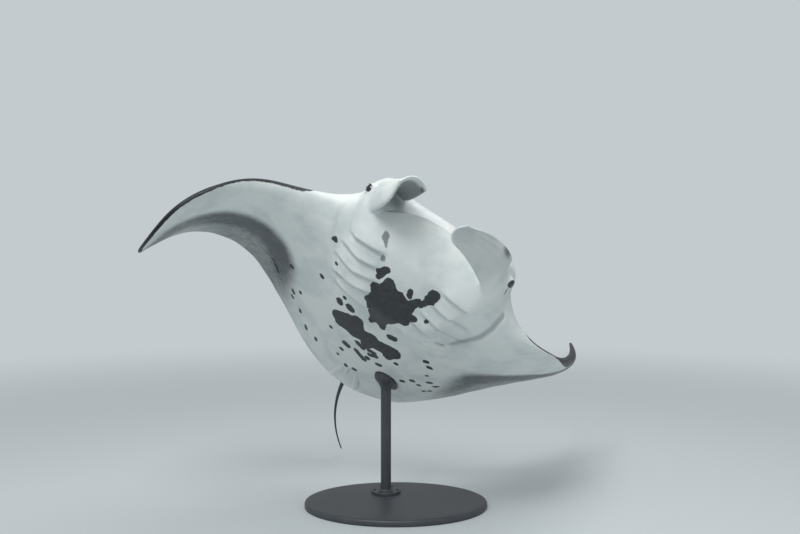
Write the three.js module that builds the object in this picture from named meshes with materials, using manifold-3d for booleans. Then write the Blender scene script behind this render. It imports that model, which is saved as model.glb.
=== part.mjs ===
// A reef manta ray, 3.5 m from wing tip to wing tip, as a still museum model. It banks as it swims,
// one wing drooping and the other raised, on a rod that rises from a flat oval base.
// Millimetres, +Z up. The base's underside lies on Z = 0.
//
// The animal is drawn first as it would lie flat, in its own axes and in fractions of the disc's
// width: x out to the side, y forward, z up through the back. Each wing is then bent along its
// length, and the whole animal is turned to the way it banks.

import * as THREE from 'three';
import { mergeVertices } from 'three/addons/utils/BufferGeometryUtils.js';
import Module from 'manifold-3d';

const wasm = await Module();
wasm.setup();

// ---------------------------------------------------------------- driving sizes

const DISC_WIDTH = 3500; // wing tip to wing tip, laid flat
const GAP = 0.3 / DISC_WIDTH; // clearance between neighbouring parts, as a fraction of the width
const ROOM = 3 * GAP; // clearance between the large blocks of the body
const RIGHT = 1;
const LEFT = -1;
const TOP = 1;
const BELLY = -1;

// How the whole animal is turned and where its snout stands above the middle of the base.
const HEADING = -151.6; // degrees, about the upright axis
const PITCH = 36.6; // degrees, nose up
const BANK = -44.4; // degrees, right wing up
const SNOUT = new THREE.Vector3(265.4, -934.6, 1480);

// ---------------------------------------------------------------- small helpers

const radians = (degrees) => (degrees * Math.PI) / 180;
const lerp = (a, b, t) => a + (b - a) * t;
const clamp = (v) => Math.min(1, Math.max(0, v));

/** Eased step: 0 below a, 1 above b. */
function smooth(a, b, v) {
  const t = clamp((v - a) / (b - a));
  return t * t * (3 - 2 * t);
}

/** 0 below -half, v above half, and a smooth bend between them. */
function easedRamp(v, half) {
  return Math.abs(v) < half ? (v + half) ** 2 / (4 * half) : Math.max(v, 0);
}

/** A curve through [position, value] stations that never overshoots them. */
function monotone(stations) {
  const n = stations.length;
  const slope = [];
  for (let i = 0; i < n - 1; i += 1) {
    slope.push((stations[i + 1][1] - stations[i][1]) / (stations[i + 1][0] - stations[i][0]));
  }
  const tangent = slope.map((s, i) => {
    if (i === 0) return s;
    return slope[i - 1] * s <= 0 ? 0 : (2 * slope[i - 1] * s) / (slope[i - 1] + s);
  });
  tangent.push(slope[n - 2]);
  return (v) => {
    let i = 0;
    while (i < n - 2 && v > stations[i + 1][0]) i += 1;
    const width = stations[i + 1][0] - stations[i][0];
    const t = clamp((v - stations[i][0]) / width);
    const [a, b] = [stations[i][1], stations[i + 1][1]];
    return a + t * width * tangent[i]
      + t * t * (3 * (b - a) - width * (2 * tangent[i] + tangent[i + 1]))
      + t * t * t * (2 * (a - b) + width * (tangent[i] + tangent[i + 1]));
  };
}

/** Point of a Bezier curve whose controls are vectors. */
function bezier(controls, t) {
  let row = controls.map((p) => p.clone());
  while (row.length > 1) {
    row = row.slice(1).map((p, i) => row[i].clone().lerp(p, t));
  }
  return row[0];
}

// ---------------------------------------------------------------- the flat disc

// From the middle of the head to the wing tip: span station, front edge x and y, rear edge x.
const OUTLINE = [
  [0.00, 0.000, -0.0150, 0.000],
  [0.06, 0.030, -0.0155, 0.028],
  [0.12, 0.060, -0.0190, 0.056],
  [0.17, 0.086, -0.0230, 0.079],
  [0.21, 0.106, -0.031, 0.097],
  [0.24, 0.114, -0.043, 0.109],
  [0.27, 0.118, -0.057, 0.121],
  [0.30, 0.131, -0.067, 0.135],
  [0.36, 0.160, -0.078, 0.165],
  [0.52, 0.250, -0.097, 0.250],
  [0.70, 0.350, -0.135, 0.350],
  [0.84, 0.420, -0.183, 0.420],
  [0.94, 0.470, -0.235, 0.470],
  [1.00, 0.500, -0.293, 0.500],
];
const frontX = monotone(OUTLINE.map(([s, x]) => [s, x]));
const frontY = monotone(OUTLINE.map(([s, , y]) => [s, y]));
const rearX = monotone(OUTLINE.map(([s, , , x]) => [s, x]));
const rearY = monotone([
  [0, -0.430], [0.03, -0.425], [0.06, -0.412], [0.15, -0.360], [0.25, -0.306],
  [0.35, -0.273], [0.40, -0.268], [0.46, -0.277], [0.50, -0.297],
]);

// Greatest height above and below the disc's middle surface, at distances out from the midline.
const backHeight = monotone([
  [0, 0.060], [0.05, 0.057], [0.09, 0.050], [0.12, 0.042], [0.16, 0.031],
  [0.22, 0.0175], [0.30, 0.0115], [0.40, 0.006], [0.50, 0.001],
]);
const bellyHeight = monotone([
  [0, 0.050], [0.05, 0.048], [0.09, 0.041], [0.12, 0.030], [0.16, 0.019],
  [0.22, 0.012], [0.30, 0.008], [0.40, 0.0045], [0.50, 0.001],
]);
const EDGE = 0.0006; // half the thickness of the skin's edge
const DEEPEST = 0.33; // where along each chord the body is thickest
const JAW_STEP = 0.006; // how far the lower jaw stands ahead of the upper one
const NOSE_BLUNTNESS = 2; // 2 is a circle's roundness; more is squarer
const BLUNTER_HEAD = { [TOP]: 0.1, [BELLY]: 0.6 };
const REAR_TAPER = 1.7;
// The throat and gill chambers swell below the belly and end in a crease at their sides and rear.
const THROAT = { halfWidth: 0.128, middle: -0.05, length: 0.155, depth: 0.012, squareness: 2.4, crease: 0.66 };
// The brow that swells over each eye: how high it stands above and below, and where it lies.
const BROW = { above: 0.020, below: 0.007, x: 0.097, y: -0.034, reachX: 0.030, reachY: 0.033, nose: 0.03 };

/** Rounded nose rising to 1 at the deepest point, then a long taper to the rear edge. */
function chordProfile(c, bluntness) {
  if (c < DEEPEST) {
    return (1 - (1 - Math.max(c, 0) / DEEPEST) ** bluntness) ** (1 / bluntness);
  }
  return 1 - ((c - DEEPEST) / (1 - DEEPEST)) ** REAR_TAPER;
}

/** Where a station of the span and of the chord lies on the flat disc. */
function discPoint(s, c, face) {
  const x = lerp(frontX(s), rearX(s), c);
  const y = lerp(frontY(s), rearY(rearX(s)), c);
  // The upper jaw stops a little behind the lower one.
  const overbite = face === TOP ? JAW_STEP * (1 - smooth(0, 0.1, c)) * (1 - smooth(0.05, 0.085, x)) : 0;
  return { x, y: y - overbite };
}

/** Height of the skin off the middle surface, on the back or on the belly. */
function skinHeight(x, y, c, face) {
  const bluntness = NOSE_BLUNTNESS + BLUNTER_HEAD[face] * (1 - smooth(0.1, 0.2, x));
  const body = (face === TOP ? backHeight(x) : bellyHeight(x)) * chordProfile(c, bluntness);
  const round = 1 - clamp(c / BROW.nose);
  const brow = Math.exp(-(((x - BROW.x) / BROW.reachX) ** 2) - ((y - BROW.y) / BROW.reachY) ** 2)
    * Math.sqrt(1 - round * round);
  if (face === TOP) return EDGE + body + BROW.above * brow;
  const behind = Math.max(0, THROAT.middle - y) / THROAT.length;
  const spread = ((x / THROAT.halfWidth) ** THROAT.squareness + behind ** THROAT.squareness)
    ** (1 / THROAT.squareness);
  const swell = THROAT.depth * (1 - smooth(THROAT.crease, 1, spread)) * smooth(0, 0.12, c);
  return EDGE + body + BROW.below * brow + swell;
}

// ---------------------------------------------------------------- bending the wings

// Slope of the wing in degrees, up from level, at quarters of its length. Lag turns the slope along
// the chord, twist pitches the chord, and sweep carries the tip back.
const WINGS = {
  [RIGHT]: { slope: [0, -3, -53, -87, -98], lag: 2.0, twist: -0.74, tipTwist: -0.05, sweep: 0.06 },
  [LEFT]: { slope: [0, 39, 49, 77, 152], lag: -4.31, twist: -1.53, tipTwist: 0.22, sweep: -0.33 },
};
const ROOT = 0.09; // distance from the midline where a wing starts to bend
const ROOT_AT_HEAD = 0.13; // the stiff head keeps the bend further out
const BEND_LENGTH = 0.41;
const HINGE_LINE = -0.17; // where the chord's own bending is measured from
const HINGE_SWEEP = 0.08; // how far further forward that line starts at the wing's root
const BEND_EASE = 0.06; // half the share of the length over which the twist sets in
for (const wing of Object.values(WINGS)) {
  wing.angle = monotone(wing.slope.map((degrees, i) => [i / 4, radians(degrees)]));
}

/** The bent middle surface at a flat point, with x counted out from the midline. */
function bend(side, x, y) {
  const wing = WINGS[side];
  const start = lerp(ROOT, ROOT_AT_HEAD, smooth(-0.12, -0.045, y));
  const reach = Math.max(x - start, 0) / BEND_LENGTH;
  const turning = easedRamp((x - start) / BEND_LENGTH, BEND_EASE);
  const steps = 24;
  let out = 0;
  let up = 0;
  for (let i = 0; i < steps; i += 1) {
    const t = (reach * (i + 0.5)) / steps;
    const lean = wing.lag * t * (HINGE_LINE - HINGE_SWEEP * (1 - t) - y);
    const angle = wing.angle(t) + lean;
    out += (Math.cos(angle) * reach * BEND_LENGTH) / steps;
    up += (Math.sin(angle) * reach * BEND_LENGTH) / steps;
  }
  const offChord = y - HINGE_LINE + HINGE_SWEEP * (1 - reach);
  up += (wing.twist * turning + wing.tipTwist * reach ** 6) * offChord;
  return new THREE.Vector3(side * (Math.min(x, start) + out), y + 0.5 * wing.sweep * reach ** 2, up);
}

/** A flat point lifted off the bent surface by a height, along that surface's own upright. */
function place(side, x, y, height) {
  const step = 0.0005;
  const across = bend(side, x + step, y).sub(bend(side, x - step, y)).multiplyScalar(side);
  const along = bend(side, x, y + step).sub(bend(side, x, y - step));
  return bend(side, x, y).addScaledVector(across.cross(along).normalize(), height);
}

/** A point of the skin. A span station below 0 lies on the left. */
function skinPoint(span, c, face) {
  const s = Math.abs(span);
  const { x, y } = discPoint(s, c, face);
  return place(span < 0 ? LEFT : RIGHT, x, y, face * skinHeight(x, y, c, face));
}

// ---------------------------------------------------------------- meshes and solids

/**
 * Closed slab between two sheets: point(u, v, face) gives a corner of the top or bottom sheet.
 * Opposite walls are split along the same diagonals, so that neighbouring slabs fit together.
 */
function slab(columns, rows, point) {
  const positions = [];
  const index = [];
  for (const face of [TOP, BELLY]) {
    for (let i = 0; i <= columns; i += 1) {
      for (let j = 0; j <= rows; j += 1) {
        positions.push(...point(i / columns, j / rows, face).toArray());
      }
    }
  }
  const sheet = (columns + 1) * (rows + 1);
  const at = (i, j, face) => (face === TOP ? 0 : sheet) + i * (rows + 1) + j;
  const quad = (a, b, c, d) => index.push(a, b, c, a, c, d);
  for (let i = 0; i < columns; i += 1) {
    for (let j = 0; j < rows; j += 1) {
      quad(at(i, j, TOP), at(i, j + 1, TOP), at(i + 1, j + 1, TOP), at(i + 1, j, TOP));
      quad(at(i, j, BELLY), at(i + 1, j, BELLY), at(i + 1, j + 1, BELLY), at(i, j + 1, BELLY));
    }
    quad(at(i, 0, TOP), at(i + 1, 0, TOP), at(i + 1, 0, BELLY), at(i, 0, BELLY));
    quad(at(i + 1, rows, BELLY), at(i + 1, rows, TOP), at(i, rows, TOP), at(i, rows, BELLY));
  }
  for (let j = 0; j < rows; j += 1) {
    quad(at(0, j, BELLY), at(0, j + 1, BELLY), at(0, j + 1, TOP), at(0, j, TOP));
    quad(at(columns, j + 1, TOP), at(columns, j + 1, BELLY), at(columns, j, BELLY), at(columns, j, TOP));
  }
  const geometry = new THREE.BufferGeometry();
  geometry.setAttribute('position', new THREE.Float32BufferAttribute(positions, 3));
  geometry.setIndex(index);
  return facingOut(geometry);
}

/** The same closed mesh with its faces turned outwards. */
function facingOut(geometry) {
  const p = geometry.attributes.position;
  const index = geometry.index.array;
  const [a, b, c] = [new THREE.Vector3(), new THREE.Vector3(), new THREE.Vector3()];
  let volume = 0;
  for (let i = 0; i < index.length; i += 3) {
    a.fromBufferAttribute(p, index[i]);
    b.fromBufferAttribute(p, index[i + 1]);
    c.fromBufferAttribute(p, index[i + 2]);
    volume += a.dot(b.cross(c));
  }
  if (volume < 0) {
    for (let i = 0; i < index.length; i += 3) {
      [index[i], index[i + 1]] = [index[i + 1], index[i]];
    }
  }
  return geometry;
}

/** The same geometry with nothing but its corners' places left. */
function bare(geometry) {
  const copy = geometry.clone();
  copy.deleteAttribute('normal');
  copy.deleteAttribute('uv');
  return copy;
}

/** A closed geometry as a solid that can be joined and cut. */
function solid(geometry) {
  const merged = mergeVertices(bare(geometry), 1e-7);
  return new wasm.Manifold(new wasm.Mesh({
    numProp: 3,
    vertProperties: Float32Array.from(merged.attributes.position.array),
    triVerts: Uint32Array.from(merged.index.array),
  }));
}

/** A closed geometry a little larger all round, to make room for it in what it meets. */
function grown(geometry) {
  const larger = mergeVertices(bare(geometry), 1e-7);
  larger.computeVertexNormals();
  const { position, normal } = larger.attributes;
  for (let i = 0; i < position.count; i += 1) {
    const [x, y, z] = [0, 1, 2].map((k) => position.getComponent(i, k) + ROOM * normal.getComponent(i, k));
    position.setXYZ(i, x, y, z);
  }
  return solid(larger);
}

/** A solid back as a geometry, without the slivers that a cut leaves beside its main piece. */
function geometryOf(manifold) {
  const pieces = manifold.decompose();
  const main = pieces.reduce((best, piece) => (piece.volume() > best.volume() ? piece : best));
  const mesh = main.getMesh();
  const geometry = new THREE.BufferGeometry();
  geometry.setAttribute('position', new THREE.Float32BufferAttribute(mesh.vertProperties, 3));
  geometry.setIndex(new THREE.Uint32BufferAttribute(mesh.triVerts, 1));
  return geometry;
}

/** Round tube of changing radius along a path, closed at both ends. */
function taper(path, radius, from, to, steps, sides) {
  const positions = [];
  const index = [];
  for (let i = 0; i <= steps; i += 1) {
    const t = lerp(from, to, i / steps);
    const along = path(t + 0.001).sub(path(t - 0.001)).normalize();
    const across = new THREE.Vector3(1, 0, 0).cross(along).normalize();
    const lift = along.clone().cross(across);
    for (let j = 0; j < sides; j += 1) {
      const turn = (2 * Math.PI * j) / sides;
      const [wide, tall] = radius(t);
      positions.push(...path(t).addScaledVector(across, tall * Math.sin(turn))
        .addScaledVector(lift, wide * Math.cos(turn)).toArray());
    }
  }
  for (let i = 0; i < steps; i += 1) {
    for (let j = 0; j < sides; j += 1) {
      const k = (j + 1) % sides;
      const [a, b, c, d] = [i * sides + j, i * sides + k, (i + 1) * sides + k, (i + 1) * sides + j];
      index.push(a, b, c, a, c, d);
    }
  }
  const last = steps * sides;
  for (let j = 1; j < sides - 1; j += 1) {
    index.push(0, j + 1, j, last, last + j, last + j + 1);
  }
  const geometry = new THREE.BufferGeometry();
  geometry.setAttribute('position', new THREE.Float32BufferAttribute(positions, 3));
  geometry.setIndex(index);
  return facingOut(geometry);
}

// ---------------------------------------------------------------- the body's own parts

const NECK = 0.27; // span station where the head and trunk meet the wings
const HEAD_REAR = 0.22; // chord station where the head meets the trunk
const ELBOW = 0.50; // span stations that part each wing in three
const WRIST = 0.76;
const WING_END = 0.996; // the blunt end of a wing tip
const SEAM = 2 * ROOM; // clearance between the lengths of a wing, in span stations

/** A block of the body between span stations and chord stations. */
function bodyBlock(from, to, front, rear, columns, rows) {
  return slab(columns, rows, (u, v, face) => {
    // Rows crowd towards the front edge, where the skin turns quickly.
    const c = lerp(front, rear, front === 0 ? v ** 1.6 : v);
    return skinPoint(lerp(from, to, u), c, face);
  });
}

// Control nets of the cephalic fins: rows run from the root to the tip, and points across a row
// from the lower edge to the upper one, with x counted out from the midline.
const CEPHALIC_FINS = {
  // Rolled into a scoop that opens downwards and ahead.
  [RIGHT]: [
    [[0.090, -0.041, -0.032], [0.104, -0.034, -0.010], [0.110, -0.012, 0.037], [0.066, -0.026, 0.002]],
    [[0.068, 0.021, -0.066], [0.095, 0.010, -0.032], [0.080, 0.010, 0.008], [0.054, -0.010, -0.003]],
    [[0.076, 0.052, -0.058], [0.074, 0.049, -0.050], [0.068, 0.055, -0.022], [0.044, 0.038, -0.026]],
  ],
  // Unrolled into a paddle that hangs ahead of the mouth.
  [LEFT]: [
    [[0.088, -0.045, -0.034], [0.090, -0.026, -0.030], [0.090, -0.014, -0.004], [0.094, -0.018, 0.022]],
    [[0.053, 0.004, -0.054], [0.062, 0.013, -0.038], [0.066, 0.020, -0.018], [0.064, 0.022, 0.004]],
    [[0.020, 0.034, -0.077], [0.006, 0.042, -0.080], [0.008, 0.050, -0.066], [0.022, 0.048, -0.054]],
  ],
};
const FIN_ROOT_THICKNESS = 0.016;
const FIN_TIP_THICKNESS = 0.006;
const FIN_EDGE_THICKNESS = 0.003;

/** Middle surface of a cephalic fin: t runs from root to tip, v across it. */
function finSheet(side, t, v) {
  const rows = CEPHALIC_FINS[side].map((row) => row.map(([x, y, z]) => new THREE.Vector3(side * x, y, z)));
  return bezier(rows.map((row) => bezier(row, v)), t);
}

function cephalicFin(side) {
  return slab(9, 9, (u, v, face) => {
    const step = 0.001;
    const across = finSheet(side, u, v + step).sub(finSheet(side, u, v - step));
    const along = finSheet(side, u + step, v).sub(finSheet(side, u - step, v));
    const normal = along.cross(across).normalize();
    const belly = Math.sqrt(1 - (2 * v - 1) ** 2) * (1 - u ** 3);
    const thickness = lerp(FIN_EDGE_THICKNESS, lerp(FIN_ROOT_THICKNESS, FIN_TIP_THICKNESS, u), belly);
    return finSheet(side, u, v).addScaledVector(normal, (face * thickness) / 2);
  });
}

const EYE_RADIUS = 0.0085;
const EYE = [0.1085, -0.0365, 0]; // centre of the eyeball, x counted out from the midline

/** Ball of an eye, a little larger where it makes room in its socket. */
function eyeball(side, radius) {
  return new THREE.SphereGeometry(radius, 12, 9).translate(side * EYE[0], EYE[1], EYE[2]);
}

// Tail: a thin whip that trails behind the disc and curves to the left.
const TAIL_LENGTHS = 4;
const TAIL_PATH = [
  [0, -0.405, 0.001], [0, -0.451, 0.012], [-0.007, -0.557, 0.019], [-0.069, -0.650, 0.033],
].map((p) => new THREE.Vector3(...p));
// Half its width and half its height; it thins quickly at first and then slowly.
const tailRadius = (t) => [lerp(0.0074, 0.0012, t ** 0.3), lerp(0.0060, 0.0010, t ** 0.3)];
const tailPath = (t) => bezier(TAIL_PATH, t);

// The closed mouth: a slot along the front of the head, whose corners droop.
const MOUTH = { halfWidth: 0.062, depth: 0.018, gape: 0.004, height: -0.006, droop: 0.014 };

function mouthSlot() {
  const { halfWidth, depth, gape, height, droop } = MOUTH;
  return slab(12, 2, (u, v, face) => {
    const x = lerp(-halfWidth, halfWidth, u);
    const middle = height - droop * (x / halfWidth) ** 2;
    const open = (gape / 2) * (0.15 + 0.85 * v);
    return new THREE.Vector3(x, -0.015 - 2.5 * x * x + depth * (2 * v - 1), middle + face * open);
  });
}

// Small fins at the base of the tail.
const DORSAL_FIN = { front: -0.350, length: 0.052, height: 0.034, thickness: 0.006 };
const PELVIC_FIN = { x: 0.013, front: -0.366, length: 0.049, width: 0.012, thickness: 0.005 };

/** Upright back-swept fin that stands on the back ahead of the tail. */
function dorsalFin() {
  const { front, length, height, thickness } = DORSAL_FIN;
  return slab(8, 6, (u, v, face) => {
    const chord = length * (1 - 0.62 * v ** 1.5);
    const y = front - 0.045 * v ** 1.3 - chord * u;
    const halfThick = 0.0005 + (thickness / 2) * Math.sin(Math.PI * clamp(u)) ** 0.7 * (1 - 0.7 * v);
    return new THREE.Vector3(face * halfThick, y, 0.004 + height * v);
  });
}

/** Rounded flap beside the tail's root, under the rear edge of the disc. */
function pelvicFin(side) {
  const { x, front, length, width, thickness } = PELVIC_FIN;
  return slab(5, 7, (u, v, face) => {
    const half = (width / 2) * Math.sin(Math.PI * (0.12 + 0.80 * v)) ** 0.8;
    const rise = 0.0006 + (thickness / 2) * Math.sin(Math.PI * (0.1 + 0.8 * u)) * (1 - 0.5 * v);
    return new THREE.Vector3(
      side * (x + 0.010 * v + lerp(-half, half, u)),
      front - length * v,
      -0.017 + 0.007 * v + face * rise,
    );
  });
}

// Stand: plate, foot, rod and the flared cradle that meets the belly.
const STAND = {
  halfWidth: 480,
  halfDepth: 355,
  thickness: 32,
  middle: [10, -335],
  rod: [-45, -195],
  rodRadius: 28,
  rodTop: 560,
  cradleRadius: 62,
  footRadius: 80,
};

// ---------------------------------------------------------------- the model

const ray = new THREE.Group();
ray.rotation.set(radians(PITCH), radians(BANK), radians(HEADING), 'ZXY');
ray.position.copy(SNOUT);
const model = new THREE.Group();
model.add(ray);
model.updateMatrixWorld(true);

const FINISHES = {
  belly: { color: 0xe9ece8, roughness: 0.55, metalness: 0 },
  wing: { color: 0xc9cfcc, roughness: 0.55, metalness: 0 },
  dark: { color: 0x23282c, roughness: 0.5, metalness: 0 },
  eye: { color: 0x0c0e10, roughness: 0.12, metalness: 0 },
  stand: { color: 0x2e3134, roughness: 0.4, metalness: 0.8 },
};

/** Adds a named mesh with its finish to a group. */
function addPart(parent, name, geometry, finish) {
  geometry.deleteAttribute('normal');
  const mesh = new THREE.Mesh(geometry, new THREE.MeshStandardMaterial(FINISHES[finish]));
  mesh.name = name;
  parent.add(mesh);
}

/** Adds a part of the animal, brought up from fractions of the disc's width to its real size. */
function addToRay(name, geometry, finish) {
  addPart(ray, name, geometry.scale(DISC_WIDTH, DISC_WIDTH, DISC_WIDTH), finish);
}

const headBlock = bodyBlock(-NECK, NECK, 0, HEAD_REAR, 24, 10);
const trunkBlock = bodyBlock(-NECK, NECK, HEAD_REAR, 1, 24, 9);
const headRoom = grown(headBlock);
const trunkRoom = grown(trunkBlock);
const sockets = [LEFT, RIGHT].map((side) => solid(eyeball(side, EYE_RADIUS + GAP)));
const head = sockets.reduce((rest, socket) => rest.subtract(socket), solid(headBlock));
addToRay('head', geometryOf(head.subtract(solid(mouthSlot()))), 'belly');
addToRay('trunk', geometryOf(solid(trunkBlock).subtract(headRoom)), 'belly');

for (const [side, word] of [[LEFT, 'left'], [RIGHT, 'right']]) {
  const wingBlock = (from, to, columns) => bodyBlock(side * from, side * to, 0, 1, columns, 11);
  const inner = wingBlock(NECK, ELBOW, 6);
  const headBeside = solid(headBlock).translate([side * GAP, 0, 0]);
  const innerWing = solid(inner).subtract(headRoom).subtract(headBeside).subtract(trunkRoom);
  addToRay(`wing_${word}_inner`, geometryOf(innerWing), 'belly');
  addToRay(`wing_${word}_middle`, wingBlock(ELBOW + SEAM, WRIST, 7), 'wing');
  addToRay(`wing_${word}_tip`, wingBlock(WRIST + SEAM, WING_END, 8), 'dark');
  const socket = sockets[side === LEFT ? 0 : 1];
  const fin = solid(cephalicFin(side)).subtract(headRoom).subtract(grown(inner)).subtract(socket);
  addToRay(`cephalic_fin_${word}`, geometryOf(fin), 'wing');
  addToRay(`eye_${word}`, mergeVertices(eyeball(side, EYE_RADIUS)), 'eye');
  addToRay(`pelvic_fin_${word}`, geometryOf(solid(pelvicFin(side)).subtract(trunkRoom)), 'belly');
}

addToRay('dorsal_fin', geometryOf(solid(dorsalFin()).subtract(trunkRoom)), 'dark');
for (let i = 0; i < TAIL_LENGTHS; i += 1) {
  const from = i / TAIL_LENGTHS + (i > 0 ? 4 * GAP : 0);
  const length = solid(taper(tailPath, tailRadius, from, (i + 1) / TAIL_LENGTHS, 5, 8));
  addToRay(`tail_${i + 1}`, geometryOf(i === 0 ? length.subtract(trunkRoom) : length), 'dark');
}

// ---------------------------------------------------------------- the stand

/** Flat plate with a rounded outline and a softened rim. */
function standBase() {
  const { halfWidth, halfDepth, thickness, middle } = STAND;
  const outline = new THREE.Shape().absellipse(0, 0, halfWidth - 6, halfDepth - 6, 0, 2 * Math.PI, false, 0);
  return new THREE.ExtrudeGeometry(outline, {
    depth: thickness - 12, bevelEnabled: true, bevelThickness: 6, bevelSize: 6, bevelSegments: 2, curveSegments: 20,
  }).translate(middle[0], middle[1], 6);
}

const inPlace = new THREE.Matrix4().copy(ray.matrixWorld).scale(new THREE.Vector3().setScalar(DISC_WIDTH));

/** Round upright turned from a profile of [radius, height] corners, with its foot on the plate. */
function turned(profile) {
  const points = profile.map(([radius, height]) => new THREE.Vector2(radius, height));
  return new THREE.LatheGeometry(points, 24).rotateX(Math.PI / 2)
    .translate(STAND.rod[0], STAND.rod[1], STAND.thickness + 0.3);
}

const { rodRadius, rodTop, cradleRadius, footRadius } = STAND;
addPart(model, 'stand_base', mergeVertices(bare(standBase())), 'stand');
addPart(model, 'stand_foot', mergeVertices(bare(turned([
  [rodRadius + 0.3, 0], [footRadius, 0], [footRadius, 14], [rodRadius + 16, 22], [rodRadius + 0.3, 22],
  [rodRadius + 0.3, 0],
]))), 'stand');
addPart(model, 'stand_rod', mergeVertices(bare(turned([
  [0, 0], [rodRadius, 0], [rodRadius, rodTop], [0, rodTop],
]))), 'stand');
const cradle = solid(bare(turned([
  [0, rodTop + 0.3], [rodRadius, rodTop + 0.3], [rodRadius + 8, rodTop + 26], [cradleRadius, rodTop + 60],
  [cradleRadius, rodTop + 260], [0, rodTop + 260],
])));
addPart(model, 'stand_cradle', geometryOf(cradle.subtract(trunkRoom.transform(inPlace.elements))), 'stand');

export default model;
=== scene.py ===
"""A reef manta ray, 3.5 m from wing tip to wing tip, as a still museum model on a display stand.

The animal is drawn flat first, in fractions of its disc's width: x out to its right, y forward from
the snout and z up through the back. Each wing is then bent along its length, and the whole animal is
turned to the way it banks. One skin covers all of it, and carries its markings.
"""

from __future__ import annotations

import logging
import math
from dataclasses import dataclass, field
from enum import Enum
from functools import reduce
from typing import Any, Sequence

import bmesh
import bpy
import numpy as np
from mathutils import Euler, Matrix, Vector
from mathutils.kdtree import KDTree

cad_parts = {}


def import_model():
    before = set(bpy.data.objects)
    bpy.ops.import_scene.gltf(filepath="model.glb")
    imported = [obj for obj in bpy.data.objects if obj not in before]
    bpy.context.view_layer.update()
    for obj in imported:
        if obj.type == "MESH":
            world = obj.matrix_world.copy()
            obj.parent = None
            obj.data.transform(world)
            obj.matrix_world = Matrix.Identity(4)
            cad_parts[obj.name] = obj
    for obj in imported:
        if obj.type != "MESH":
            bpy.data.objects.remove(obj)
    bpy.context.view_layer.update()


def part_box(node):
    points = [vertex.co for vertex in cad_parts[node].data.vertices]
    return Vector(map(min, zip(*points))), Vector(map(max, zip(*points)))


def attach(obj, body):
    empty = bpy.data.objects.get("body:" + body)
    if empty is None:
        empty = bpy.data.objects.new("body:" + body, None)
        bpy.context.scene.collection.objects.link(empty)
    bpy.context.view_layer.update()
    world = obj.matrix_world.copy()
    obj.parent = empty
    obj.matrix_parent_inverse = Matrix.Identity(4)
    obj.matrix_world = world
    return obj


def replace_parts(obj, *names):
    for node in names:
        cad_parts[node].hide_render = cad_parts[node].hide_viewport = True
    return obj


LOG = logging.getLogger("manta_ray")
Array = np.ndarray

DISC_WIDTH = 3.5  # metres, wing tip to wing tip, laid flat
MM = 0.001  # metres
PER_MM = MM / DISC_WIDTH  # fractions of the disc's width
MARK = 0.001  # the belly's marks are placed in thousandths of the disc's width
FAR = 60.0  # millimetres past which the pattern's distances are not counted
SAME = 2e-6  # fractions of the disc's width within which two corners are one


class Side(Enum):
    """The animal's own right and left."""

    RIGHT = 1
    LEFT = -1


class Face(Enum):
    """The two sheets of the disc's skin."""

    BACK = 1
    BELLY = -1


# ---------- small helpers


def mix(a: Any, b: Any, share: Any) -> Any:
    """The value that lies a share of the way from a to b."""
    return a + (b - a) * share


def ease(start: float, stop: float, value: Any) -> Any:
    """Eased step: 0 before start, 1 past stop.

    Args:
        start, stop: Where the step begins and ends.
        value: Positions to read it at.

    Returns:
        The step's height at each position.
    """
    t = np.clip((value - start) / (stop - start), 0.0, 1.0)
    return t * t * (3 - 2 * t)


def hump(value: Any, middle: float, width: float) -> Any:
    """Smooth hump of height 1 at the middle, falling away over the width."""
    return np.exp(-(((value - middle) / width) ** 2))


def eased_ramp(value: Array, half: float) -> Array:
    """0 below -half, the value itself above half, and a smooth bend between them."""
    return np.where(np.abs(value) < half, (value + half) ** 2 / (4 * half), np.maximum(value, 0))


def unit(vectors: Array) -> Array:
    """The same vectors with a length of 1."""
    return vectors / np.maximum(np.linalg.norm(vectors, axis=-1, keepdims=True), 1e-12)


class Curve:
    """Smooth curve through stations that never overshoots them."""

    def __init__(self, stations: Sequence[tuple[float, float]]) -> None:
        """Works out the slope at each station.

        Args:
            stations: Position and value of each station, in order.
        """
        self.at, self.value = np.array(stations, float).T
        slope = np.diff(self.value) / np.diff(self.at)
        before, after = slope[:-1], slope[1:]
        total = np.where(before + after == 0, 1.0, before + after)
        inner = np.where(before * after <= 0, 0.0, 2 * before * after / total)
        self.tangent = np.concatenate([slope[:1], inner, slope[-1:]])

    def __call__(self, position: Any) -> Array:
        """The curve's value at positions, held at its ends.

        Args:
            position: Positions along the curve.

        Returns:
            The value at each position.
        """
        position = np.asarray(position, float)
        i = np.clip(np.searchsorted(self.at, position) - 1, 0, len(self.at) - 2)
        width = self.at[i + 1] - self.at[i]
        t = np.clip((position - self.at[i]) / width, 0.0, 1.0)
        a, b = self.value[i], self.value[i + 1]
        first, last = width * self.tangent[i], width * self.tangent[i + 1]
        return (
            a
            + t * first
            + t**2 * (3 * (b - a) - 2 * first - last)
            + t**3 * (2 * (a - b) + first + last)
        )


def bezier(controls: Sequence[Array], t: Array) -> Array:
    """Points of a Bezier curve.

    Args:
        controls: Control points, each of them one point or one point for every t.
        t: Positions along the curve, shaped to multiply points.

    Returns:
        A point for every t.
    """
    row = list(controls)
    while len(row) > 1:
        row = [mix(a, b, t) for a, b in zip(row, row[1:])]
    return row[0]


def evenly(length: Array, value: Array, spacing: Array) -> Array:
    """Values chosen along a path so that neighbours stand a wanted distance apart.

    Args:
        length: Length of the path up to each sample.
        value: The value at each sample.
        spacing: The wanted distance at each sample.

    Returns:
        The chosen values, first and last sample included.
    """
    steps = np.diff(length) / (0.5 * (spacing[1:] + spacing[:-1]))
    count = np.concatenate([[0.0], np.cumsum(steps)])
    return np.interp(np.linspace(0, count[-1], int(math.ceil(count[-1])) + 1), count, value)


# ---------- mesh helpers


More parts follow.
